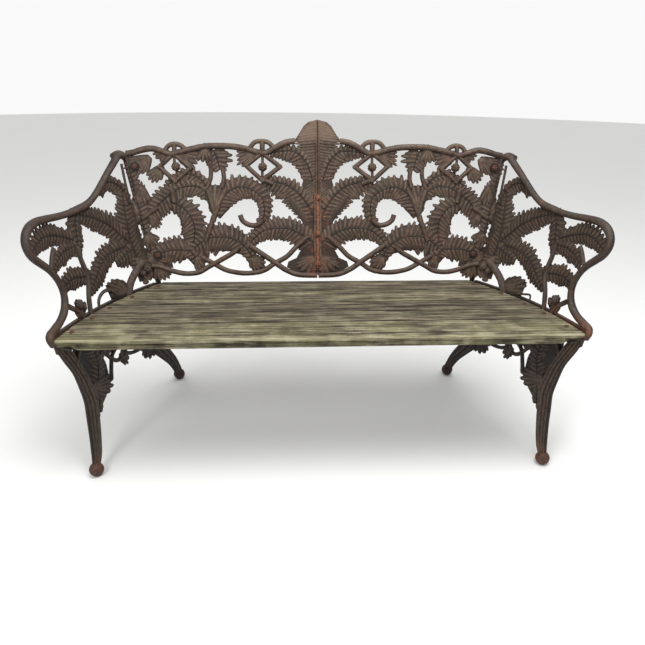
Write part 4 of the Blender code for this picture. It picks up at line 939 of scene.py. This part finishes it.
def weathered_wood(colours, name):
    """Softwood board left to the weather: silver-brown, grooved along the grain, with algae and lichen.

    Lines of dark damp grain run the length of a slat, and the raised ones catch a dry pale light.
    """
    material, tree, shader, coordinates = start_material(name)
    damp, shade, sunk, nose_highlight = (add(tree, "ShaderNodeAttribute", attribute_name=layer).outputs["Fac"]
                                for layer in ("damp", "shade", "sunk", "nose_highlight"))
    drawn_out = add(tree, "ShaderNodeMapping", {"Vector": coordinates, "Scale": (0.035, 1.0, 1.0)})
    lengthwise = drawn_out.outputs["Vector"]
    streaks = add(tree, "ShaderNodeTexNoise",
                  {"Vector": lengthwise, "Scale": pattern_scale(4.4), "Detail": 7.0, "Roughness": 0.68,
                   "Distortion": 0.25}).outputs["Fac"]
    fine = add(tree, "ShaderNodeTexNoise", {"Vector": lengthwise, "Scale": pattern_scale(1.9), "Detail": 4.0,
                                            "Roughness": 0.7}).outputs["Fac"]
    # Damp lines and dry raised ones along the grain
    tone = cover(tree, colours.wood_dark, colours.wood, rise(tree, streaks, 0.42, 0.53))
    tone = cover(tree, tone, colours.wood_light, rise(tree, streaks, 0.51, 0.62), 0.95)
    tone = cover(tree, tone, colours.wood_dark, rise(tree, fine, 0.60, 0.38), 0.55)
    # Whole boards darker by their own tone, and painted shade on the face under the front board's nose
    tone = cover(tree, tone, colours.wood_dark, shade)
    # Algae on the damp boards, a crust of lichen over them, and pale specks
    tone = cover(tree, tone, colours.algae,
                 spots(tree, coordinates, 70, 0.36, 0.60, detail=6, offset=(1, 4, 2)),
                 damp, rise(tree, streaks, 0.30, 0.62, top=0.9, bottom=0.35))
    tone = cover(tree, tone, colours.lichen,
                 spots(tree, coordinates, 55, 0.44, 0.64, detail=9, offset=(8, 2, 3)),
                 rise(tree, streaks, 0.40, 0.58, top=0.95), join(tree, "ADD", damp, 0.12))
    tone = cover(tree, tone, linear(SPECK_PALE),
                 spots(tree, coordinates, 6.5, 0.76, 0.80, detail=3, offset=(4, 9, 1)), 0.5)
    # Painted highlight along the nose's top edge, in the lichen colour; painted shade on the boards' sides
    # and undersides; and dark in the cracks and grooves
    tone = cover(tree, tone, colours.lichen, nose_highlight, rise(tree, streaks, 0.40, 0.56, top=0.75, bottom=0.15))
    tone = cover(tree, tone, linear(GAP_SHADE_AND_CRACK_DARK), sunk, 0.92)
    height = add(tree, "ShaderNodeMath", {0: streaks, 1: fine}, operation="ADD").outputs[0]
    bump = add(tree, "ShaderNodeBump", {"Height": height, "Strength": 0.55, "Distance": 0.0016})
    fill(tree, shader, {"Base Color": tone, "Normal": bump.outputs["Normal"], "Roughness": 0.88,
                        "Specular IOR Level": 0.3})
    return material


def rusted_steel(colours, name):
    """Mild-steel fixing, rusted brown all over: a matt granular skin, orange where the rain runs."""
    material, tree, shader, coordinates = start_material(name)
    tone = cover(tree, colours.rust_dark, colours.iron, spots(tree, coordinates, 6, 0.35, 0.65, detail=6))
    tone = cover(tree, tone, colours.rust, spots(tree, coordinates, 11, 0.52, 0.68, offset=(1, 1, 1)), 0.25)
    grit = add(tree, "ShaderNodeTexNoise",
               {"Vector": coordinates, "Scale": pattern_scale(1.2), "Detail": 3.0})
    bump = add(tree, "ShaderNodeBump", {"Height": grit.outputs["Fac"], "Strength": 0.4, "Distance": 0.0005})
    fill(tree, shader, {"Base Color": tone, "Normal": bump.outputs["Normal"], "Roughness": 0.75,
                        "Metallic": 0.35})
    return material


def matt_floor(colours):
    """Matt painted studio floor: pale, with no pattern of its own and only a faint unevenness."""
    material, tree, shader, coordinates = start_material("matt studio floor")
    tone = cover(tree, colours.floor, linear(FLOOR_SHADE), spots(tree, coordinates, 900, 0.2, 0.8), 0.06)
    fill(tree, shader, {"Base Color": tone, "Roughness": 0.95})
    return material


def kept(name, build):
    """The material of this name, made the first time that it is asked for."""
    return bpy.data.materials.get(name) or build(name)


def iron_material(colours):
    return kept("sand-cast iron, brown patina", lambda name: cast_iron(colours, name, 0.0))


def rust_material(colours):
    return kept("cast iron, open rust", lambda name: cast_iron(colours, name, 0.9))


def wood_material(colours):
    return kept("weathered softwood, oiled long ago", lambda name: weathered_wood(colours, name))


def steel_material(colours):
    return kept("mild steel, rusted", lambda name: rusted_steel(colours, name))


def seat_piece(obj, material, slot, *nodes):
    """Gives a finished piece its material and its body, and hides the CAD nodes that it stands for; the slot
    is not used.
    """
    obj.data.materials.append(material)
    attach(obj, "root")
    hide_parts(*nodes)


def light_studio(scene):
    """A bright dome, dimmer on the sitter's side so that the forms keep their shade, and two softboxes."""
    scene.view_settings.view_transform = "Standard"
    scene.view_settings.look = "None"
    scene.world = bpy.data.worlds.new("studio")
    scene.world.use_nodes = True
    tree = scene.world.node_tree
    way = add(tree, "ShaderNodeSeparateXYZ", {0: add(tree, "ShaderNodeTexCoord").outputs["Generated"]})
    backdrop = rise(tree, way.outputs["Y"], 0.35, 0.75, top=0.95, bottom=0.38)
    dome = rise(tree, way.outputs["Z"], 0.35, 0.8)
    fill(tree, tree.nodes["Background"], {"Color": (1.0, 1.0, 1.0, 1.0),
                                          "Strength": join(tree, "MAXIMUM", backdrop, dome)})
    for name, place, aim, size, power in LIGHTS:
        data = bpy.data.lights.new(name, "AREA")
        data.size = size
        data.energy = power
        light = bpy.data.objects.new(name, data)
        light.location = place
        light.rotation_euler = (Vector(aim) - Vector(place)).to_track_quat("-Z", "Y").to_euler()
        scene.collection.objects.link(light)


def lay_floor(scene):
    """The round pale floor, far wider than the view."""
    shape = bmesh.new()
    bmesh.ops.create_circle(shape, cap_ends=True, segments=96, radius=FLOOR_RADIUS)
    floor = present("floor", as_mesh(shape, "floor"), 30)
    floor.data.materials.append(matt_floor(scene.bench_colours))


def place_camera(scene):
    """Stands the camera in front of the bench, turned by its yaw, then its pitch, then its roll."""
    data = bpy.data.cameras.new("camera")
    data.sensor_width = CAMERA_SENSOR
    data.lens = CAMERA_LENS
    scene.camera = bpy.data.objects.new("camera", data)
    scene.collection.objects.link(scene.camera)
    ahead = Vector((-math.sin(CAMERA_YAW) * math.cos(CAMERA_PITCH),
                    math.cos(CAMERA_YAW) * math.cos(CAMERA_PITCH), -math.sin(CAMERA_PITCH)))
    right = Vector((math.cos(CAMERA_YAW), math.sin(CAMERA_YAW), 0))
    down = ahead.cross(right)
    turned_right = right * math.cos(CAMERA_ROLL) + down * math.sin(CAMERA_ROLL)
    turned_down = down * math.cos(CAMERA_ROLL) - right * math.sin(CAMERA_ROLL)
    turn = Matrix((turned_right, -turned_down, -ahead)).transposed().to_4x4()
    scene.camera.matrix_world = Matrix.Translation(CAMERA_PLACE) @ turn


class BENCH_OT_stage(bpy.types.Operator):
    """Sets the pale floor, the soft studio light and the camera"""

    bl_idname = "bench.stage"
    bl_label = "Stage"

    def execute(self, context):
        light_studio(context.scene)
        lay_floor(context.scene)
        place_camera(context.scene)
        return {"FINISHED"}


def trellis_bar(flat, start, end):
    """One side of a square trellis loop, run a little past its corners so that they close."""
    past = (Vector(end) - Vector(start)).normalized() * DIAMOND_BAR * 0.7
    ends = (tuple(Vector(start) - past), tuple(Vector(end) + past))
    stem(flat, ends, DIAMOND_BAR, 0.25, flat=0.9, steps=3)


def back_half(sizes):
    """The right half of the back."""
    template = leaflet_template()
    flat = leafwork(BACK_WEBS, BACK_FRONDS, BACK_FANS, BACK_STEMS, BACK_BERRIES, sizes, template, 0.12)
    hood(flat, template, sizes)
    for corners in DIAMONDS:
        for start, end in zip(corners, corners[1:] + corners[:1]):
            trellis_bar(flat, start, end)
    sweep(flat, [(x, y, 0.345, 0.5, 0.35) for x, y in smooth_route(RIB, 8)])
    sweep(flat, [(x, y, 0.7, LAND - 0.02, 0) for x, y in smooth_route(CENTRE_LAND, 6)], 10)
    shape = bmesh.new()
    lay(flat, on_back, shape)
    for across, up in LUGS:
        lay(lug_boss(across, up, -PLATE, LUG_FRONT, 0.9), on_back, shape)
    return shape


class BENCH_OT_back_castings(bpy.types.Operator):
    """Builds both halves of the fern back"""

    bl_idname = "bench.back_castings"
    bl_label = "Back castings"

    def execute(self, context):
        for side in ("right", "left"):
            shape = back_half(context.scene.bench_sizes)
            obj = casting(f"fern_back_{side}", shape, side == "left")
            seat_piece(obj, iron_material(context.scene.bench_colours), "cast_iron", f"back_panel_{side}")
        return {"FINISHED"}


def ball_foot(target, place):
    """A ball foot, cut flat where it stands."""
    ball = bmesh.new()
    bmesh.ops.create_uvsphere(ball, u_segments=28, v_segments=18, radius=BALL_RADIUS)
    bmesh.ops.translate(ball, verts=ball.verts, vec=(place[0], place[1], BALL_HEIGHT))
    cut_off(ball, (0, 0, 0), (0, 0, -1))
    set_crest(ball, lambda place: BALL_CREST)
    pour(ball, target)


def ridged_leg(target, route, ridges):
    """A leg and the bundle of stems that is cast along its face."""
    member(target, route, LEG_FLATNESS, 0.0, sides=14)
    points = smooth_route(route, 5)
    middles = [Vector(p[:2]) for p in points]
    for offset, share in ridges:
        stations = []
        for i, (x, y, r) in enumerate(points):
            direction = heading(middles, i)
            side = Vector((-direction.y, direction.x)) * offset * r
            wave = 1 + 0.12 * noise.noise(Vector((x, y, offset * 5)))
            lift = r * LEG_FLATNESS * math.sqrt(max(0.0, 1 - offset * offset)) * 0.92
            stations.append((x + side.x, y + side.y, r * share * wave, r * share * 0.8, lift))
        sweep(target, stations)


def rear_post():
    """The post behind the back's edge that the end is bolted by, its lugs, and the webs that tie them."""
    rear = bmesh.new()
    post = [(mix(PATTERN_FOOT_EDGE, PATTERN_KNOT[0], up / PATTERN_KNOT[1]) - POST_SETBACK, up, POST_RADIUS)
            for up in POST_LEVELS]
    # The post's low shine paints it in shade, so that it recedes behind the leafwork
    member(rear, post, 1.0, POST_DEPTH, shine=0.3)
    for across, up in LUGS:
        pour(lug_boss(across, up, LUG_BACK, -PLATE - GAP / UNIT), rear)
        member(rear, ((across + 0.7, up, 0.7), (across + 2.6, up, 0.7)), 0.6, -0.95, sides=10)
    return rear


def end_half(sizes, side):
    """One end, drawn as the right-hand one."""
    template = leaflet_template()
    flat = leafwork(END_WEBS, END_FRONDS, END_FANS, END_STEMS, END_BERRIES, sizes, template, 0.15, END_SPREAD)
    stem(flat, TENDRILS[side], TENDRIL_RADIUS[side], 0.3, taper=0.8)
    member(flat, ARM, 1.0, ARM_DEPTH, sides=14, shine=0.84)
    member(flat, KNOT_LINK, 1.0, KNOT_LINK_DEPTH)
    ridged_leg(flat, FRONT_LEG, FRONT_LEG_STEMS)
    ridged_leg(flat, REAR_LEG, REAR_LEG_STEMS)
    strip_bar(flat, (LEDGE_SPAN[0], LEDGE_LOW, -0.2), (LEDGE_SPAN[1], LEDGE_TOP, LEDGE_REACH))
    strip_bar(flat, (0.3, SIDE_BAND[0], -0.5), (END_UNITS - 0.3, SIDE_BAND[1], 0.5))
    shape = bmesh.new()
    lay(flat, on_end, shape)
    lay(rear_post(), on_back, shape)
    for place in (FRONT_FOOT, REAR_FOOT):
        ball_foot(shape, place)
    return shape


class BENCH_OT_end_castings(bpy.types.Operator):
    """Builds both ends, each with its arm, legs and fern side"""

    bl_idname = "bench.end_castings"
    bl_label = "End castings"

    def execute(self, context):
        for side in ("right", "left"):
            shape = end_half(context.scene.bench_sizes, side)
            obj = casting(f"fern_end_{side}", shape, side == "left")
            seat_piece(obj, iron_material(context.scene.bench_colours), "cast_iron", f"end_frame_{side}")
        return {"FINISHED"}


def board_section(front, rear, step, grooves):
    """(y, z, is it on top) round a board's section, from its rear over the top to its underside."""
    bottom, ease = SEAT_TOP - SLAT_THICKNESS, BOARD_EASE
    points = [(rear, bottom + ease, 0), (rear, SEAT_TOP - ease, 0)]
    points.append((rear - ease * 0.3, SEAT_TOP - ease * 0.3, 0))
    count = round((rear - front - 2 * ease) / step)
    for i in range(count + 1):
        y = mix(rear - ease, front + ease, i / count)
        dip = max((1 - abs(y - groove) / GROOVE_WIDTH for groove in grooves), default=0)
        points.append((y, SEAT_TOP - GROOVE_DEPTH * max(0.0, dip), 1))
    points += [(front + ease * 0.3, SEAT_TOP - ease * 0.3, 0), (front, SEAT_TOP - ease, 0)]
    points += [(front, bottom + ease, 0), (front + ease, bottom, 0), (rear - ease, bottom, 0)]
    return points


def nosed_section(front, rear, step, grooves):
    """The front board: a groove, a rounded nose and a small moulding under it."""
    bottom, ease = SEAT_TOP - SLAT_THICKNESS, BOARD_EASE
    top = [p for p in board_section(front + NOSE_BACK - GROOVE_WIDTH, rear, step, grooves) if p[2]]
    points = [(rear, bottom + ease, 0), (rear, SEAT_TOP - ease, 0)] + top
    start, lip = top[-1][0] - step, front + NOSE_INSET
    for i in range(7):
        points.append((mix(start, lip + NOSE_ROUND, i / 6), SEAT_TOP - NOSE_FALL * i / 6, 1))
    for i in range(1, 6):
        turn = math.radians(18 * i)
        fall = NOSE_FALL + NOSE_ROUND * (1 - math.cos(turn))
        points.append((lip + NOSE_ROUND * (1 - math.sin(turn)), SEAT_TOP - fall, 0))
    moulding = SEAT_TOP - LIP_DROP
    points += [
        (lip, moulding + 0.0012, 0), (lip + LIP_STEP, moulding, 0), (lip + LIP_STEP, moulding - 0.0014, 0),
        (lip + 0.0012, moulding - 0.0024, 0), (lip + 0.0008, moulding - 0.0080, 0),
        (lip + 0.0030, bottom - 0.0015, 0), (lip + 0.0070, bottom - LIP_BELOW, 0),
        (lip + 0.0150, bottom - LIP_BELOW, 0), (lip + 0.0170, bottom, 0), (rear - ease, bottom, 0),
    ]
    return points


def crack_lines(front, rear, count, seed):
    """Where a board's cracks run: (y, first x, last x, wander), the same for the same seed."""
    lines = []
    for i in range(count):
        a = noise.noise(Vector((seed * 3.1, i * 1.7, 0.5)))
        b = noise.noise(Vector((seed * 1.3, i * 2.9, 7.5)))
        y = mix(front + 0.008, rear - 0.006, min(max((i + 0.5 + 0.6 * a) / count, 0.02), 0.98))
        middle, reach = 0.62 * math.sin(7.3 * i + seed * 2.1), 0.16 + 0.30 * abs(b) + 0.12 * (i % 3)
        lines.append((y, middle - reach, middle + reach, i * 3.3 + seed))
    return lines


def weather(board, front, cracks, grooves, nosed, shade, damp, sizes, seed):
    """Wears a board's top along its grain, opens its cracks, and marks its dark, damp and sunk places: its
    own tone, painted shade on its sides and under its nose, and a painted highlight along the nose.
    """
    layers = board.verts.layers.float
    for layer in ("sunk", "shade", "damp", "nose_highlight"):
        layers.new(layer)
    top, sunk, dark, wet, nose_highlight = (layers[layer] for layer in ("top", "sunk", "shade", "damp", "nose_highlight"))
    for vertex in board.verts:
        x, y, z = vertex.co
        on_nose = nosed and y < front + NOSE_BACK
        vertex[dark] = shade
        vertex[wet] = damp * along(((-0.286, 1.25), (-0.25, 1.0), (-0.17, 0.75)), y) if nosed else damp
        if on_nose and z < SEAT_TOP - LIP_DROP and y < front + 0.02 and abs(x) > LIP_HALF:
            vertex.co.y += LIP_SETBACK
        # Painted shade on the board's sides and underside, where they face the gaps, and in its grooves
        if z < SEAT_TOP - 0.0012 and not on_nose:
            vertex[sunk] = 1.0
        # The nose: a painted highlight along its top edge, and painted shade on its face below
        if on_nose and y < front + 0.010:
            vertex[nose_highlight] = along(((-LIP_DROP, 0.0), (-0.0045, 0.35), (-0.002, 1.0)), z - SEAT_TOP)
            vertex[dark] = along(((-LIP_DROP, 0.45), (-0.003, 0.0)), z - SEAT_TOP)
        if not vertex[top]:
            wear = noise.noise(Vector((x * 9, y * 40, seed))) * 0.0007
            vertex.co.z -= abs(wear) if z > SEAT_TOP - SLAT_THICKNESS / 2 else 0
            continue
        grain = noise.noise(Vector((x * 2.2, y * 380, seed)))
        grain += 0.5 * noise.noise(Vector((x * 7, y * 900, seed)))
        vertex.co.z -= sizes.grain_depth * (0.5 + grain * 0.8)
        for place, start, stop, wander in cracks:
            line = place + 0.0016 * noise.noise(Vector((x * 5, wander, 0)))
            if start < x < stop and abs(y - line) < sizes.grain_step * 0.62:
                fade = min(1.0, (x - start) / CRACK_FADE, (stop - x) / CRACK_FADE)
                vertex.co.z -= sizes.crack_depth * fade
                vertex[sunk] = fade
        for groove in grooves:
            vertex[sunk] = max(vertex[sunk], 0.85 * (1 - abs(y - groove) / GROOVE_WIDTH * 1.2))


def slat_board(name, front, rear, shade, damp, cracks, sizes, seed):
    """A weathered board: its section carried along the bench, cut to the ends' bow, then worn."""
    nosed = name.endswith("front")
    grooves = (front + NOSE_GROOVE,) if nosed else (front + REAR_GROOVE,) if name.endswith("rear") else ()
    board = bmesh.new()
    top = board.verts.layers.float.new("top")
    half = end_x(front) + BOARD_SPARE
    corners = []
    for y, z, upper in (nosed_section if nosed else board_section)(front, rear, sizes.grain_step, grooves):
        corners.append(board.verts.new((-half, y, z)))
        corners[-1][top] = upper
    span = Matrix.Translation((2 * half / BOARD_SPANS, 0, 0))
    carry(board, [board.faces.new(corners)], [span] * BOARD_SPANS)
    for end in (1, -1):
        inner, outer = Vector((end * end_x(rear), rear, 0)), Vector((end * end_x(front), front, 0))
        cut_off(board, inner, (outer - inner).cross(Vector((0, 0, -end))))
    weather(board, front, crack_lines(front, rear, cracks, seed), grooves, nosed, shade, damp, sizes, seed)
    bmesh.ops.triangulate(board, faces=[f for f in board.faces if len(f.verts) > 4])
    bmesh.ops.recalc_face_normals(board, faces=board.faces)
    name = name.replace("seat_slat", "board")
    return present(name, as_mesh(board, name), 40)


class BENCH_OT_seat_boards(bpy.types.Operator):
    """Builds the five weathered slats of the seat"""

    bl_idname = "bench.seat_boards"
    bl_label = "Seat boards"

    def execute(self, context):
        scene = context.scene
        for seed, (name, *board) in enumerate(SLATS, 1):
            obj = slat_board(name, *board, scene.bench_sizes, seed)
            seat_piece(obj, wood_material(scene.bench_colours), "weathered_wood", name)
        return {"FINISHED"}


class BENCH_OT_joint_strip(bpy.types.Operator):
    """Builds the half-round cover strip over the joint of the two halves of the back"""

    bl_idname = "bench.joint_strip"
    bl_label = "Joint strip"

    def execute(self, context):
        flat = bmesh.new()
        floor = LAND + GAP / UNIT
        stations = []
        for i in range(STRIP_SPANS + 1):
            up = mix(*STRIP, i / STRIP_SPANS)
            lump = max(math.exp(-((up - bolt) / BOLT_LUMP) ** 2) for bolt in JOINT_BOLTS)
            rough = 0.10 * noise.noise(Vector((up * 0.9, 3.0, 0)))
            bend = 0.10 * noise.noise(Vector((up * 0.35, 8.0, 0)))
            across = STRIP_HALF * (0.92 + rough) + 0.28 * lump
            stations.append((bend, up, across, STRIP_DEPTH * (0.46 + 0.04 * lump), floor + STRIP_DEPTH * 0.5))
        sweep(flat, stations, 14)
        shape = bmesh.new()
        lay(flat, on_back, shape)
        obj = casting("cover_strip", shape, False)
        seat_piece(obj, rust_material(context.scene.bench_colours), "rusted_iron", "joint_strip")
        return {"FINISHED"}


class BENCH_OT_fixings(bpy.types.Operator):
    """Gives the bolts, nuts, screws, strap and plate their rusted steel"""

    bl_idname = "bench.fixings"
    bl_label = "Fixings"

    def execute(self, context):
        colours = context.scene.bench_colours
        for name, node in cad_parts.items():
            if node.hide_render:
                continue
            node.data.materials.clear()
            node.data.materials.append(
                rust_material(colours) if name.startswith("joint_bolt") else steel_material(colours))
        return {"FINISHED"}


class BENCH_PT_panel(bpy.types.Panel):
    """Lists the steps that build the bench"""

    bl_idname = "BENCH_PT_panel"
    bl_label = "Garden bench"
    bl_space_type = "VIEW_3D"
    bl_region_type = "UI"
    bl_category = "Bench"

    def draw(self, context):
        for step in STEPS:
            self.layout.operator(step.bl_idname)
        for group in (context.scene.bench_sizes, context.scene.bench_colours):
            box = self.layout.box()
            for name in group.__annotations__:
                box.prop(group, name)


STEPS = (BENCH_OT_stage, BENCH_OT_back_castings, BENCH_OT_end_castings, BENCH_OT_seat_boards,
         BENCH_OT_joint_strip, BENCH_OT_fixings)
CLASSES = (BenchSizes, BenchColours, *STEPS, BENCH_PT_panel)


def register():
    for item in CLASSES:
        bpy.utils.register_class(item)
    bpy.types.Scene.bench_sizes = bpy.props.PointerProperty(type=BenchSizes)
    bpy.types.Scene.bench_colours = bpy.props.PointerProperty(type=BenchColours)


def unregister():
    del bpy.types.Scene.bench_colours
    del bpy.types.Scene.bench_sizes
    for item in reversed(CLASSES):
        bpy.utils.unregister_class(item)


def main():
    register()
    bpy.ops.bench.stage()
    bpy.ops.bench.back_castings()
    bpy.ops.bench.end_castings()
    bpy.ops.bench.seat_boards()
    bpy.ops.bench.joint_strip()
    bpy.ops.bench.fixings()


if __name__ == "__main__":
    main()
